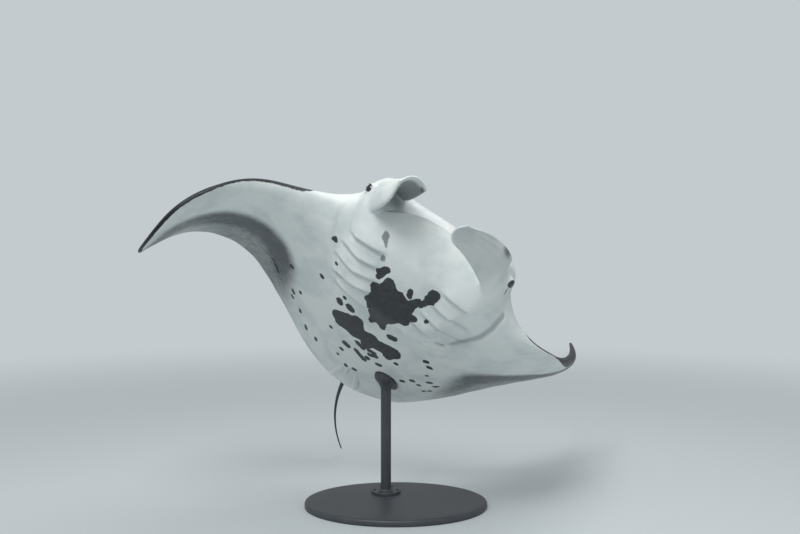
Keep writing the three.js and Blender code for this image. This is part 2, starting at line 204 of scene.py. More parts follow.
@dataclass
class Shell:
    """Closed mesh in the making: its corners, its faces and what each corner says of the skin."""

    points: Array
    faces: list[tuple[int, ...]]
    values: dict[str, Array] = field(default_factory=dict)

    def outward(self) -> "Shell":
        """The same shell with its faces made to agree and turned outwards.

        Returns:
            This shell, changed in place.
        """
        mesh = bpy.data.meshes.new("turning")
        mesh.from_pydata([tuple(p) for p in self.points.tolist()], [], self.faces)
        work = bmesh.new()
        work.from_mesh(mesh)
        bmesh.ops.recalc_face_normals(work, faces=work.faces)
        self.faces = [tuple(v.index for v in face.verts) for face in work.faces]
        work.free()
        bpy.data.meshes.remove(mesh)
        return self

    def joined(self, other: "Shell") -> "Shell":
        """This shell and another as one mesh, without cutting either.

        Args:
            other: The shell that is added.

        Returns:
            A new shell with the corners and faces of both.
        """
        shift = len(self.points)
        faces = self.faces + [tuple(k + shift for k in face) for face in other.faces]
        values = {name: np.concatenate([v, other.values[name]]) for name, v in self.values.items()}
        return Shell(np.concatenate([self.points, other.points]), faces, values)


def grid_faces(columns: int, rows: int, start: int = 0, loop: bool = False) -> list[tuple[int, ...]]:
    """Four-sided faces over a grid of corners that is stored column by column.

    Args:
        columns: Corners along the first direction.
        rows: Corners along the second direction.
        start: Index of the grid's first corner.
        loop: Whether each column closes on itself.

    Returns:
        The faces.
    """
    faces = []
    for i in range(columns - 1):
        for j in range(rows if loop else rows - 1):
            k = (j + 1) % rows
            a, b = start + i * rows, start + (i + 1) * rows
            faces.append((a + j, a + k, b + k, b + j))
    return faces


def tube(rings: Sequence[Array]) -> Shell:
    """Tube through rings of as many corners each, capped at both ends.

    Args:
        rings: The rings, one after another.

    Returns:
        The tube, without a pattern.
    """
    sides = len(rings[0])
    last = (len(rings) - 1) * sides
    caps = [tuple(range(sides)), tuple(range(last + sides - 1, last - 1, -1))]
    return Shell(np.concatenate(rings), grid_faces(len(rings), sides, loop=True) + caps).outward()


def zip_rows(one: Sequence[int], other: Sequence[int], along: Array) -> list[tuple[int, ...]]:
    """Triangles that join two rows of corners with different counts.

    Args:
        one: Corner indices of the first row, in order.
        other: Corner indices of the second row, in the same direction.
        along: Position of every corner along the rows, by index.

    Returns:
        The triangles.
    """
    faces = []
    i = j = 0
    while i < len(one) - 1 or j < len(other) - 1:
        first_next = along[one[i + 1]] if i < len(one) - 1 else math.inf
        other_next = along[other[j + 1]] if j < len(other) - 1 else math.inf
        if first_next <= other_next:
            faces.append((one[i], other[j], one[i + 1]))
            i += 1
        else:
            faces.append((one[i], other[j], other[j + 1]))
            j += 1
    return faces


def mesh_object(name: str, shell: Shell, material: bpy.types.Material | None = None) -> bpy.types.Object:
    """Makes a smooth-shaded object from a shell.

    Args:
        name: The object's name.
        shell: Corners, faces and values, in the row frame in metres.
        material: Its finish.

    Returns:
        The linked object.
    """
    mesh = bpy.data.meshes.new(name)
    mesh.from_pydata([tuple(p) for p in shell.points.tolist()], [], shell.faces)
    mesh.shade_smooth()
    for key, values in shell.values.items():
        mesh.attributes.new(key, "FLOAT", "POINT").data.foreach_set("value", values.astype(np.float32))
    made = bpy.data.objects.new(name, mesh)
    bpy.context.scene.collection.objects.link(made)
    if material is not None:
        mesh.materials.append(material)
    return made


def corners(mesh: bpy.types.Mesh) -> Array:
    """Every vertex of a mesh as an array.

    Args:
        mesh: The mesh.

    Returns:
        A row of x, y and z for each vertex.
    """
    points = np.empty(len(mesh.vertices) * 3)
    mesh.vertices.foreach_get("co", points)
    return points.reshape(-1, 3)


def applied(made: bpy.types.Object) -> bpy.types.Object:
    """Puts what an object's modifiers make in place of its own mesh.

    Args:
        made: The object.

    Returns:
        The same object, with a new mesh and no modifiers.
    """
    evaluated = made.evaluated_get(bpy.context.evaluated_depsgraph_get())
    mesh = bpy.data.meshes.new_from_object(evaluated)
    made.modifiers.clear()
    made.data = mesh
    return made


def combined(base: bpy.types.Object, tool: bpy.types.Object, operation: str) -> bpy.types.Mesh:
    """Joins a closed solid to another, or cuts it out, and removes both.

    Args:
        base: The solid that is kept.
        tool: The solid that is joined or cut out.
        operation: UNION or DIFFERENCE.

    Returns:
        The resulting mesh.
    """
    step = base.modifiers.new("combine", "BOOLEAN")
    step.operation = operation
    step.solver = "MANIFOLD"
    step.object = tool
    bpy.context.view_layer.update()
    mesh = applied(base).data
    for used in (base, tool):
        bpy.data.objects.remove(used)
    return mesh


# ---------- node helpers


def linear(hex_colour: str) -> tuple[float, float, float, float]:
    """An sRGB hex colour, such as 8A7F70, as the linear colour that Blender works in.

    Args:
        hex_colour: Six hex digits.

    Returns:
        Linear red, green and blue, and an opaque alpha.
    """
    parts = [int(hex_colour[k : k + 2], 16) / 255 for k in (0, 2, 4)]
    red, green, blue = (p / 12.92 if p <= 0.04045 else ((p + 0.055) / 1.055) ** 2.4 for p in parts)
    return red, green, blue, 1.0


def add_node(
    tree: bpy.types.NodeTree,
    kind: str,
    settings: dict[str, Any] | None = None,
    inputs: dict[str | int, Any] | None = None,
) -> bpy.types.Node:
    """Adds one node with its settings and links.

    Args:
        tree: The tree that gets the node.
        kind: The node's type.
        settings: Properties of the node.
        inputs: For each input, by name or place, a value or the output socket that feeds it.

    Returns:
        The node.
    """
    node = tree.nodes.new(kind)
    for name, value in (settings or {}).items():
        setattr(node, name, value)
    for key, value in (inputs or {}).items():
        socket = node.inputs[key]
        if isinstance(value, bpy.types.NodeSocket):
            tree.links.new(value, socket)
        else:
            socket.default_value = value
    return node


def new_material(
    name: str, plain: dict[str, Any] | None = None
) -> tuple[bpy.types.Material, bpy.types.NodeTree, bpy.types.Node]:
    """An empty material with its shader.

    Args:
        name: The material's name.
        plain: The shader's inputs that are the same all over.

    Returns:
        The material, its node tree and its Principled shader.
    """
    material = bpy.data.materials.new(name)
    material.use_nodes = True
    tree = material.node_tree
    tree.nodes.clear()
    shader = add_node(tree, "ShaderNodeBsdfPrincipled", inputs=plain)
    add_node(tree, "ShaderNodeOutputMaterial", inputs={"Surface": shader.outputs["BSDF"]})
    return material, tree, shader


# ---------- the body's form


@dataclass(frozen=True)
class Wing:
    """How one wing is bent: slopes in degrees at quarters of its length, up from level."""

    side: Side
    slopes: tuple[float, ...]
    lag: float
    twist: float
    tip_twist: float
    sweep: float
    root: float = 0.09
    root_at_head: float = 0.13
    beside_head: tuple[float, float] = (-0.12, -0.045)  # y over which the root moves out round the head
    length: float = 0.41
    hinge_line: float = -0.17
    hinge_sweep: float = 0.08
    bend_ease: float = 0.06
    probe: float = 0.0005  # half the distance over which the surface's slope is read
    steps: int = 24

    def bend(self, x: Array, y: Array) -> Array:
        """The bent middle surface.

        Args:
            x, y: Out from the midline, and forward, on the flat disc.

        Returns:
            Points in the animal's own axes.
        """
        slope = Curve([(i / 4, math.radians(v)) for i, v in enumerate(self.slopes)])
        start = mix(self.root, self.root_at_head, ease(*self.beside_head, y))
        reach = np.maximum(x - start, 0) / self.length
        out, up = np.zeros_like(x), np.zeros_like(x)
        for i in range(self.steps):
            t = reach * (i + 0.5) / self.steps
            angle = slope(t) + self.lag * t * (-self.hinge_sweep * (1 - t) - (y - self.hinge_line))
            out += np.cos(angle) * reach * self.length / self.steps
            up += np.sin(angle) * reach * self.length / self.steps
        turning = eased_ramp((x - start) / self.length, self.bend_ease)
        off_chord = y - self.hinge_line + self.hinge_sweep * (1 - reach)
        up += (self.twist * turning + self.tip_twist * reach**6) * off_chord
        side = self.side.value
        return np.stack([side * (np.minimum(x, start) + out), y + 0.5 * self.sweep * reach**2, up], -1)

    def place(self, x: Array, y: Array, height: Array) -> Array:
        """Flat points lifted off the bent surface by a height, along that surface's own upright.

        Args:
            x, y: Out from the midline, and forward, on the flat disc.
            height: Distance off the bent surface, above 0 on the back's side.

        Returns:
            Points in the animal's own axes.
        """
        step = self.probe
        across = (self.bend(x + step, y) - self.bend(x - step, y)) * self.side.value
        along = self.bend(x, y + step) - self.bend(x, y - step)
        return self.bend(x, y) + unit(np.cross(across, along)) * height[..., None]


@dataclass(frozen=True)
class Disc:
    """The flat outline of the disc, and how thick it is."""

    edge: float = 0.0006
    deepest: float = 0.33
    head_side: tuple[float, float] = (0.1, 0.2)  # x over which the head's blunter front gives way
    bluntness: float = 2.0
    blunter_back: float = 0.1
    blunter_belly: float = 0.6
    jaw_step: float = 0.006
    throat_half_width: float = 0.128
    throat_middle: float = -0.05
    throat_length: float = 0.155
    throat_depth: float = 0.012
    throat_start: float = 0.12  # chord station where the throat's swell is whole
    throat_rim: float = 0.66  # share of the throat's spread where its swell starts to fall
    squareness: float = 2.4
    rear_taper: float = 1.7
    # The brow that swells over each eye: how high it stands above and below, and where it lies.
    brow_above: float = 0.020
    brow_below: float = 0.007
    brow_middle: tuple[float, float] = (0.097, -0.034)
    brow_reach: tuple[float, float] = (0.030, 0.033)
    brow_nose: float = 0.03
    # Span station, front edge x and y, rear edge x.
    outline: tuple[tuple[float, ...], ...] = (
        (0.00, 0.000, -0.0150, 0.000), (0.06, 0.030, -0.0155, 0.028), (0.12, 0.060, -0.0190, 0.056),
        (0.17, 0.086, -0.0230, 0.079), (0.21, 0.106, -0.031, 0.097), (0.24, 0.114, -0.043, 0.109),
        (0.27, 0.118, -0.057, 0.121), (0.30, 0.131, -0.067, 0.135), (0.36, 0.160, -0.078, 0.165),
        (0.52, 0.250, -0.097, 0.250), (0.70, 0.350, -0.135, 0.350), (0.84, 0.420, -0.183, 0.420),
        (0.94, 0.470, -0.235, 0.470), (1.00, 0.500, -0.293, 0.500),
    )
    rear_edge: tuple[tuple[float, float], ...] = (
        (0, -0.430), (0.03, -0.425), (0.06, -0.412), (0.15, -0.360), (0.25, -0.306),
        (0.35, -0.273), (0.40, -0.268), (0.46, -0.277), (0.50, -0.297),
    )
    back: tuple[tuple[float, float], ...] = (
        (0, 0.060), (0.05, 0.057), (0.09, 0.050), (0.12, 0.042), (0.16, 0.031),
        (0.22, 0.0175), (0.30, 0.0115), (0.40, 0.006), (0.50, 0.001),
    )
    belly: tuple[tuple[float, float], ...] = (
        (0, 0.050), (0.05, 0.048), (0.09, 0.041), (0.12, 0.030), (0.16, 0.019),
        (0.22, 0.012), (0.30, 0.008), (0.40, 0.0045), (0.50, 0.001),
    )

    def point(self, s: Array, c: Array) -> tuple[Array, Array]:
        """Where a station of the span and of the chord lies on the flat disc.

        Args:
            s: Span stations, from 0 on the midline to 1 at the wing tip.
            c: Chord stations, from 0 at the front edge to 1 at the rear edge.

        Returns:
            The distance out from the midline, and the distance forward.
        """
        front_x, front_y, rear_x = (Curve([(row[0], row[k]) for row in self.outline])(s) for k in (1, 2, 3))
        rear_y = Curve(self.rear_edge)(rear_x)
        return mix(front_x, rear_x, c), mix(front_y, rear_y, c)

    def profile(self, c: Array, bluntness: Array) -> Array:
        """Rounded nose rising to 1 at the deepest point, then a long taper to the rear edge.

        Args:
            c: Chord stations.
            bluntness: Power of the nose's curve: 2 gives an ellipse, more a blunter front.

        Returns:
            The share of the full height at each station.
        """
        nose = 1 - np.clip(c, 0, self.deepest) / self.deepest
        tail = np.maximum(c - self.deepest, 0) / (1 - self.deepest)
        return np.where(c < self.deepest, (1 - nose**bluntness) ** (1 / bluntness), 1 - tail**self.rear_taper)

    def height(self, x: Array, y: Array, c: Array, face: Face) -> Array:
        """Height of the skin off the middle surface.

        Args:
            x, y: Out from the midline, and forward.
            c: Chord station.
            face: Back or belly.

        Returns:
            The height, never negative.
        """
        head = 1 - ease(*self.head_side, x)
        (at_x, at_y), (reach_x, reach_y) = self.brow_middle, self.brow_reach
        nose = 1 - np.clip(c / self.brow_nose, 0, 1)
        brow = np.exp(-(((x - at_x) / reach_x) ** 2) - ((y - at_y) / reach_y) ** 2) * np.sqrt(1 - nose**2)
        if face is Face.BACK:
            body = Curve(self.back)(x) * self.profile(c, self.bluntness + self.blunter_back * head)
            return self.edge + body + self.brow_above * brow
        body = Curve(self.belly)(x) * self.profile(c, self.bluntness + self.blunter_belly * head)
        behind = np.maximum(0, self.throat_middle - y) / self.throat_length
        beside = x / self.throat_half_width
        spread = (beside**self.squareness + behind**self.squareness) ** (1 / self.squareness)
        swell = self.throat_depth * (1 - ease(self.throat_rim, 1, spread)) * ease(0, self.throat_start, c)
        return self.edge + body + self.brow_below * brow + swell


@dataclass(frozen=True)
class Posture:
    """How the whole animal banks, and where its snout is."""

    snout: tuple[float, float, float]
    heading: float = -151.6
    pitch: float = 36.6
    bank: float = -44.4

    def turn(self) -> Matrix:
        """The rotation from the animal's own axes to the row frame's."""
        turns = ((self.heading, "Z"), (self.pitch, "X"), (self.bank, "Y"))
        return reduce(Matrix.__matmul__, [Matrix.Rotation(math.radians(v), 3, axis) for v, axis in turns])

    def settle(self, points: Array) -> Array:
        """Points from the animal's own axes, in fractions of its width, to metres in the row frame."""
        return points * DISC_WIDTH @ np.array(self.turn()).T + np.array(self.snout)

    @classmethod
    def from_eyes(cls, eye: tuple[float, float, float]) -> "Posture":
        """Finds the snout from the frame's two eyes.

        Args:
            eye: Centre of an eyeball in the animal's own axes, x counted out from the midline.

        Returns:
            The posture.
        """
        middles = [sum(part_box(f"eye_{word}"), Vector()) / 2 for word in ("left", "right")]
        between = (middles[0] + middles[1]) / 2
        ahead = cls((0, 0, 0)).turn() @ Vector((0, eye[1], eye[2])) * DISC_WIDTH
        return cls(tuple(between - ahead))


# ---------- the skin's relief


def distance_along(x: Array, y: Array, path: Sequence[tuple[float, float]]) -> tuple[Array, Array]:
    """How points lie beside a path of straight stretches.

    Args:
        x, y: The points.
        path: The path's corners.

    Returns:
        The distance off the path, above 0 on its left, and the share of the path's length passed.
    """
    ends = np.array(path, float)
    lengths = np.linalg.norm(np.diff(ends, axis=0), axis=1)
    passed = np.concatenate([[0.0], np.cumsum(lengths)])
    best = np.full(np.shape(x), np.inf)
    share = np.zeros(np.shape(x))
    for i, (a, b) in enumerate(zip(ends, ends[1:])):
        step = b - a
        t = np.clip(((x - a[0]) * step[0] + (y - a[1]) * step[1]) / (step @ step), 0, 1)
        off_x, off_y = x - a[0] - t * step[0], y - a[1] - t * step[1]
        off = np.hypot(off_x, off_y) * np.sign(step[0] * off_y - step[1] * off_x)
        nearer = np.abs(off) < np.abs(best)
        best = np.where(nearer, off, best)
        share = np.where(nearer, (passed[i] + t * lengths[i]) / passed[-1], share)
    return best, share


@dataclass(frozen=True)
class GillFlap:
    """Edge of one gill flap on the belly, from the midline outwards, in thousandths."""

    path: tuple[tuple[float, float], ...]
    rise: float = 14.0  # millimetres that the flap's edge stands proud
    slit: float = 9.0  # millimetres that the slit behind it is sunk
    swell: float = 34.0  # millimetres over which the flap rises from ahead
    slit_behind: float = 15.0  # millimetres from the flap's edge to the slit's bottom
    slit_width: float = 13.0

    def relief(self, x: Array, y: Array) -> Array:
        """Height that the flap adds to the belly, x counted out from the midline.

        Args:
            x, y: Out from the midline, and forward.

        Returns:
            The height, below 0 in the slit.
        """
        off, share = distance_along(x, y, [(a * MARK, b * MARK) for a, b in self.path])
        off = off / PER_MM
        fade = ease(0.0, 0.22, share) * (1 - ease(0.84, 1.0, share))
        # The flap swells slowly from ahead to its rounded edge, and drops into the slit behind.
        flap = np.exp(-((np.maximum(off, 0) / self.swell) ** 1.6)) * ease(-17, 11, off)
        sunk = hump(off, -self.slit_behind, self.slit_width)
        return (self.rise * flap - self.slit * sunk) * fade * PER_MM


@dataclass(frozen=True)
class Mouth:
    """Closed mouth: a line across the front of the head whose corners droop."""

    half_width: float = 0.062
    height: float = -0.006
    droop: float = 0.014

    def line(self, x: Array) -> Array:
        """Height of the line where the lips meet."""
        return self.height - self.droop * (x / self.half_width) ** 2

    def lip(self, x: Array, z: Array) -> Array:
        """How far the lips push the skin forward, or the groove between them draws it back.

        Args:
            x: Out from the midline.
            z: Height above the snout's middle.

        Returns:
            The distance forward, below 0 in the groove.
        """
        off = (z - self.line(x)) / PER_MM
        inside = 1 - ease(0.86, 1.08, x / self.half_width)
        lower = 4.5 * hump(off, -9, 7)
        upper = 3.0 * hump(off, 13, 9)
        groove = -11.0 * hump(off, 0.5, 3.2)
        return (lower + upper + groove) * inside * PER_MM


@dataclass(frozen=True)
class Relief:
    """Everything that stands up from the smooth skin or sinks into it."""

    mouth: Mouth = Mouth()
    flaps: tuple[GillFlap, ...] = (
        GillFlap(((40, -66), (60, -70), (87, -75), (112, -91))),
        GillFlap(((36, -90), (56, -96), (87, -105), (120, -112))),
        GillFlap(((30, -112), (54, -120), (85, -131), (118, -136))),
        GillFlap(((26, -136), (49, -144), (76, -158), (108, -167))),
        GillFlap(((19, -167), (38, -177), (62, -181), (94, -181))),
    )
    # Crease around the gill chambers, from the side of the head round to the belly.
    crease: tuple[tuple[float, float], ...] = (
        (128, -52), (131, -66), (134, -79), (133, -94), (127, -113), (118, -130), (111, -142), (102, -155),
        (90, -168), (70, -175), (48, -182),
    )
    crease_depth: float = 15.0
    crease_width: float = 12.0
    loose: dict[Side, float] = field(default_factory=lambda: {Side.RIGHT: 0.3, Side.LEFT: 1.0})

    def belly(self, x: Array, y: Array, side: Side) -> Array:
        """Height added to the belly.

        Args:
            x, y: Out from the midline, and forward.
            side: Which half; the skin beside the gills is stretched flat where the wing is raised.

        Returns:
            The height, below 0 in slits and creases.
        """
        total = sum(flap.relief(x, y) for flap in self.flaps)
        off, share = distance_along(x, y, [(a * MARK, b * MARK) for a, b in self.crease])
        fade = ease(0, 0.05, share) * (1 - 0.6 * ease(0.7, 0.95, share)) * (1 - ease(0.92, 1, share))
        # The crease is sunk, with a low roll of skin on its inner side.
        sunk = self.crease_depth * hump(off / PER_MM, 0, self.crease_width) - 5 * hump(off / PER_MM, 22, 11)
        total = total - self.loose[side] * sunk * fade * PER_MM
        # The vent, a slit between the pelvic fins, with a low rim.
        vent = ease(-0.392, -0.382, y) * (1 - ease(-0.366, -0.358, y))
        across = x / PER_MM
        total = total + vent * (4 * hump(across, 12, 9) - 9 * hump(across, 0, 5)) * PER_MM
        # Long low muscles fan out from the shoulders, and the hips fill the belly's rear.
        fan = np.sin(190 * (y + 0.35 * x)) * ease(0.12, 0.2, x) * (1 - ease(0.3, 0.42, x))
        return total + 0.9 * fan * PER_MM

    def back(self, x: Array, y: Array) -> Array:
        """Height added to the back at flat points, x counted out from the midline.

        Args:
            x, y: Out from the midline, and forward.

        Returns:
            The height, below 0 in a spiracle.
        """
        # A low ridge down the spine, shoulder blades beside it, and a spiracle behind each eye.
        spine = 5 * hump(x / PER_MM, 0, 60) * ease(-0.12, -0.2, y) * (1 - ease(-0.4, -0.43, y))
        off, share = distance_along(x, y, [(0.098, -0.074), (0.108, -0.079)])
        spiracle = -9 * hump(off / PER_MM, 0, 5) * ease(0, 0.2, share) * (1 - ease(0.8, 1, share))
        rim = 3 * hump(off / PER_MM, 10, 7) * ease(0, 0.2, share) * (1 - ease(0.8, 1, share))
        return (spine + spiracle + rim) * PER_MM


# ---------- the skin's marks


Stroke = tuple[float, float, float, float, float, float]


@dataclass(frozen=True)
class Blot:
    """Dark blot on the belly: strokes run together, each one x, y and radius at both its ends."""

    strokes: tuple[Stroke, ...]
    blend: float = 3.0

    def distance(self, x: Array, y: Array) -> Array:
        """Distance to the blot's edge in thousandths, below 0 inside it.

        Args:
            x, y: To the animal's right, and forward, in thousandths.

        Returns:
            The distance at each point.
        """
        total = np.full(np.shape(x), 1e3)
        for ax, ay, ar, bx, by, br in self.strokes:
            step = np.array([bx - ax, by - ay])
            t = ((x - ax) * step[0] + (y - ay) * step[1]) / max(float(step @ step), 1e-9)
            t = np.clip(t, 0, 1)
            off = np.hypot(x - ax - t * step[0], y - ay - t * step[1]) - mix(ar, br, t)
            share = np.clip(0.5 + 0.5 * (total - off) / self.blend, 0, 1)
            total = mix(total, off, share) - self.blend * share * (1 - share)
        return total


def spot(x: float, y: float, radius: float, reach_x: float = 0.0, reach_y: float = 0.0) -> Blot:
    """A single small spot, as long as its reach along x and y.

    Args:
        x, y: Its middle, to the animal's right and forward, in thousandths.
        radius: Half its width.
        reach_x, reach_y: Its length to the right and forward.

    Returns:
        A blot of one stroke.
    """
    length = math.hypot(reach_x, reach_y)
    inset = max(0.0, 0.5 - radius / length) if length > 0 else 0.0
    across, along = reach_x * inset, reach_y * inset
    return Blot(((x - across, y - along, radius, x + across, y + along, radius),))


@dataclass(frozen=True)
class Markings:
    """The belly's own pattern, by which this animal could be told from any other."""

    chest: Blot = Blot((
        (3, -130, 25, 4, -150, 25), (20, -101, 7, 10, -112, 7), (-34, -132, 5, -22, -140, 12),
        (25, -159, 7, 18, -180, 7), (18, -124, 15, 32, -124, 9), (10, -138, 20, 18, -140, 18),
        (-12, -128, 16, -14, -140, 16), (22, -103, 6, 21, -118, 9), (18, -150, 12, 32, -152, 7.5),
        (0, -108, 5, 0, -122, 9), (-25, -101, 5, -19, -118, 9), (-14, -146, 13, -25, -149, 8),
        (4, -165, 19, 8, -186, 12), (11, -190, 8, 14, -202, 4.5), (1, -188, 10, -5, -200, 5),
    ))
    waist: Blot = Blot((
        (57, -244, 13, 42, -236, 15), (30, -224, 11, 26, -250, 15), (22, -247, 15, -4, -246, 14),
        (1, -263, 9, 0, -240, 12), (52, -255, 9, 30, -250, 11), (-14, -246, 13, -38, -242, 14),
        (-36, -257, 8, -34, -243, 10),
    ))
    tear: Blot = Blot(((60, -46, 2.2, 57.5, -49, 4.4), (57.5, -49, 4.4, 48.5, -59, 1.0)))
    bead: Blot = spot(45, -75, 3.8, 3, 9)
    drop: Blot = Blot(((-38, -78, 8.5, -37, -87, 8), (-36, -90, 6, -31, -107, 3), (-41, -92, 3, -36, -96, 3)))
    anvil: Blot = Blot(((32, -86, 4.5, 42, -96, 4), (33, -88, 5, 37, -104, 4.5)))
    # Each spot: its middle, the radius of its ends, and its reach to the right and forward.
    small: tuple[Blot, ...] = tuple(spot(*row) for row in (
        (-10.5, -98, 4.0, 5, 17), (67, -212, 6.0, 10, 12), (63.5, -196, 3.6, 2, 5),
        (49, -208, 6.0, 16, 6), (60, -284, 3.4, 2, 7), (-25, -209, 5.6, 17, -5), (26, -297, 5.6, 17, 5),
        (29, -319, 4.0, 9, 3), (30, -341, 3.0, 2, 6), (8, -274, 4.6, 20, 7), (0, -299, 4.6, 26, 15),
        (-12, -294, 4.2, 9, 6), (-12, -271, 4.0, 17, -3), (-17, -279, 4.2, 17, -10),
        (-32, -293, 4.0, 12, -5), (-52, -263, 3.4, 7, -4), (-5, -352, 4.0, 10, -3),
        (10, -358, 3.6, 4, 10), (-87, -219, 3.6, 11, -4), (-95, -229, 3.4, 9, -3),
        (-98, -254, 2.2, 2, -5), (-75, -303, 3.8, 5, -8), (-86, -288, 3.8, 9, -4),
        (-97, -293, 3.0, 5, -4), (-106, -273, 3.6, 8, -6), (-117, -282, 3.4, 7, -9),
        (-108, -311, 3.0, 5, -6), (-115, -306, 3.2, 5, -7), (-50, -125, 3.0, 4, -6),
        (123, -118, 4.2, 8, 4), (103, -152, 3.0, 2, 4), (111, -197, 3.2, 9, 4), (139, -293, 4.0, 7, 9),
        (137, -308, 3.4, 8, 5), (127, -275, 3.0, 2, 8), (115, -321, 3.2, 3, 10), (95, -347, 3.6, 5, 12),
        (72, -352, 3.2, 3, 12), (158, -235, 4.0, 7, 6), (190, -262, 3.6, 8, 7), (183, -271, 4.4, 9, 9),
        (177, -281, 3.4, 5, 9),
    ))
    # Inner edge of the dusky band along each wing's rear edge.
    dusk_right: tuple[tuple[float, float], ...] = (
        (95, -330), (112, -295), (128, -262), (142, -232), (161, -207), (183, -187), (209, -177),
        (238, -171), (289, -172), (345, -179), (400, -190), (440, -215), (500, -260),
    )
    dusk_left: tuple[tuple[float, float], ...] = (
        (100, -280), (112, -250), (120, -226), (130, -206), (146, -200), (179, -193), (222, -192),
        (256, -190), (300, -185), (360, -182), (440, -215), (500, -260),
    )

    def blot(self, x: Array, y: Array) -> Array:
        """Distance to the nearest dark mark's edge in millimetres, at signed flat points.

        Args:
            x, y: To the animal's right, and forward.

        Returns:
            The distance, below 0 inside a mark.
        """
        marks = (self.chest, self.waist, self.drop, self.anvil, *self.small)
        across, along = x / MARK, y / MARK
        nearest = np.minimum.reduce([mark.distance(across, along) for mark in marks])
        return np.clip(nearest * MARK / PER_MM, -FAR, FAR)

    def faint(self, x: Array, y: Array) -> Array:
        """How dark the two soft grey marks under the throat are, from 0 to 1, at signed flat points."""
        nearest = np.minimum.reduce([mark.distance(x / MARK, y / MARK) for mark in (self.tear, self.bead)])
        return 0.72 * (1 - ease(-3.0, 3.0, nearest * MARK / PER_MM))

    def dusk(self, x: Array, y: Array, side: Side) -> Array:
        """How dusky the belly is, from 0 to 1.

        Args:
            x, y: Out from the midline, and forward.
            side: Which wing.

        Returns:
            0 on the white belly, 1 in the middle of the band along the wing's rear edge.
        """
        path = self.dusk_right if side is Side.RIGHT else self.dusk_left
        off, _ = distance_along(x, y, [(a * MARK, b * MARK) for a, b in path])
        behind = -off / PER_MM
        # Soft on the inside, darkest a hand's width in, and greyer towards the rear edge.
        band = ease(-50, 75, behind) * (1 - 0.36 * ease(120, 250, behind))
        # The belly's rear stays bare between the wings, and the band is greyer on the outer wing.
        start = 0.115 if side is Side.RIGHT else 0.095
        return band * ease(start, start + 0.07, x) * (1 - 0.3 * ease(0.27, 0.36, x))


# ---------- the animal's skin


# What every corner of the skin says: millimetres past the edge of the black back and from the nearest dark
# mark's edge, then from 0 to 1 the dusk of the band, the pale shoulder patches, how dark small marks are
# together with painted shade in and under the right cephalic fin, and the painted shade of a slit or a crease
# by how deep it lies.
PATTERN = ("past_back", "to_mark", "dusk", "shoulder", "smudge", "fold_shade")


def pattern(count: int, **known: Array | float) -> dict[str, Array]:
    """The pattern's values for a number of corners, plain pale where nothing is said.

    Args:
        count: Number of corners.
        **known: The values that differ from plain pale skin.

    Returns:
        An array for every value's name.
    """
    plain = {"past_back": -FAR, "to_mark": FAR}
    return {name: np.full(count, 1.0) * known.get(name, plain.get(name, 0.0)) for name in PATTERN}


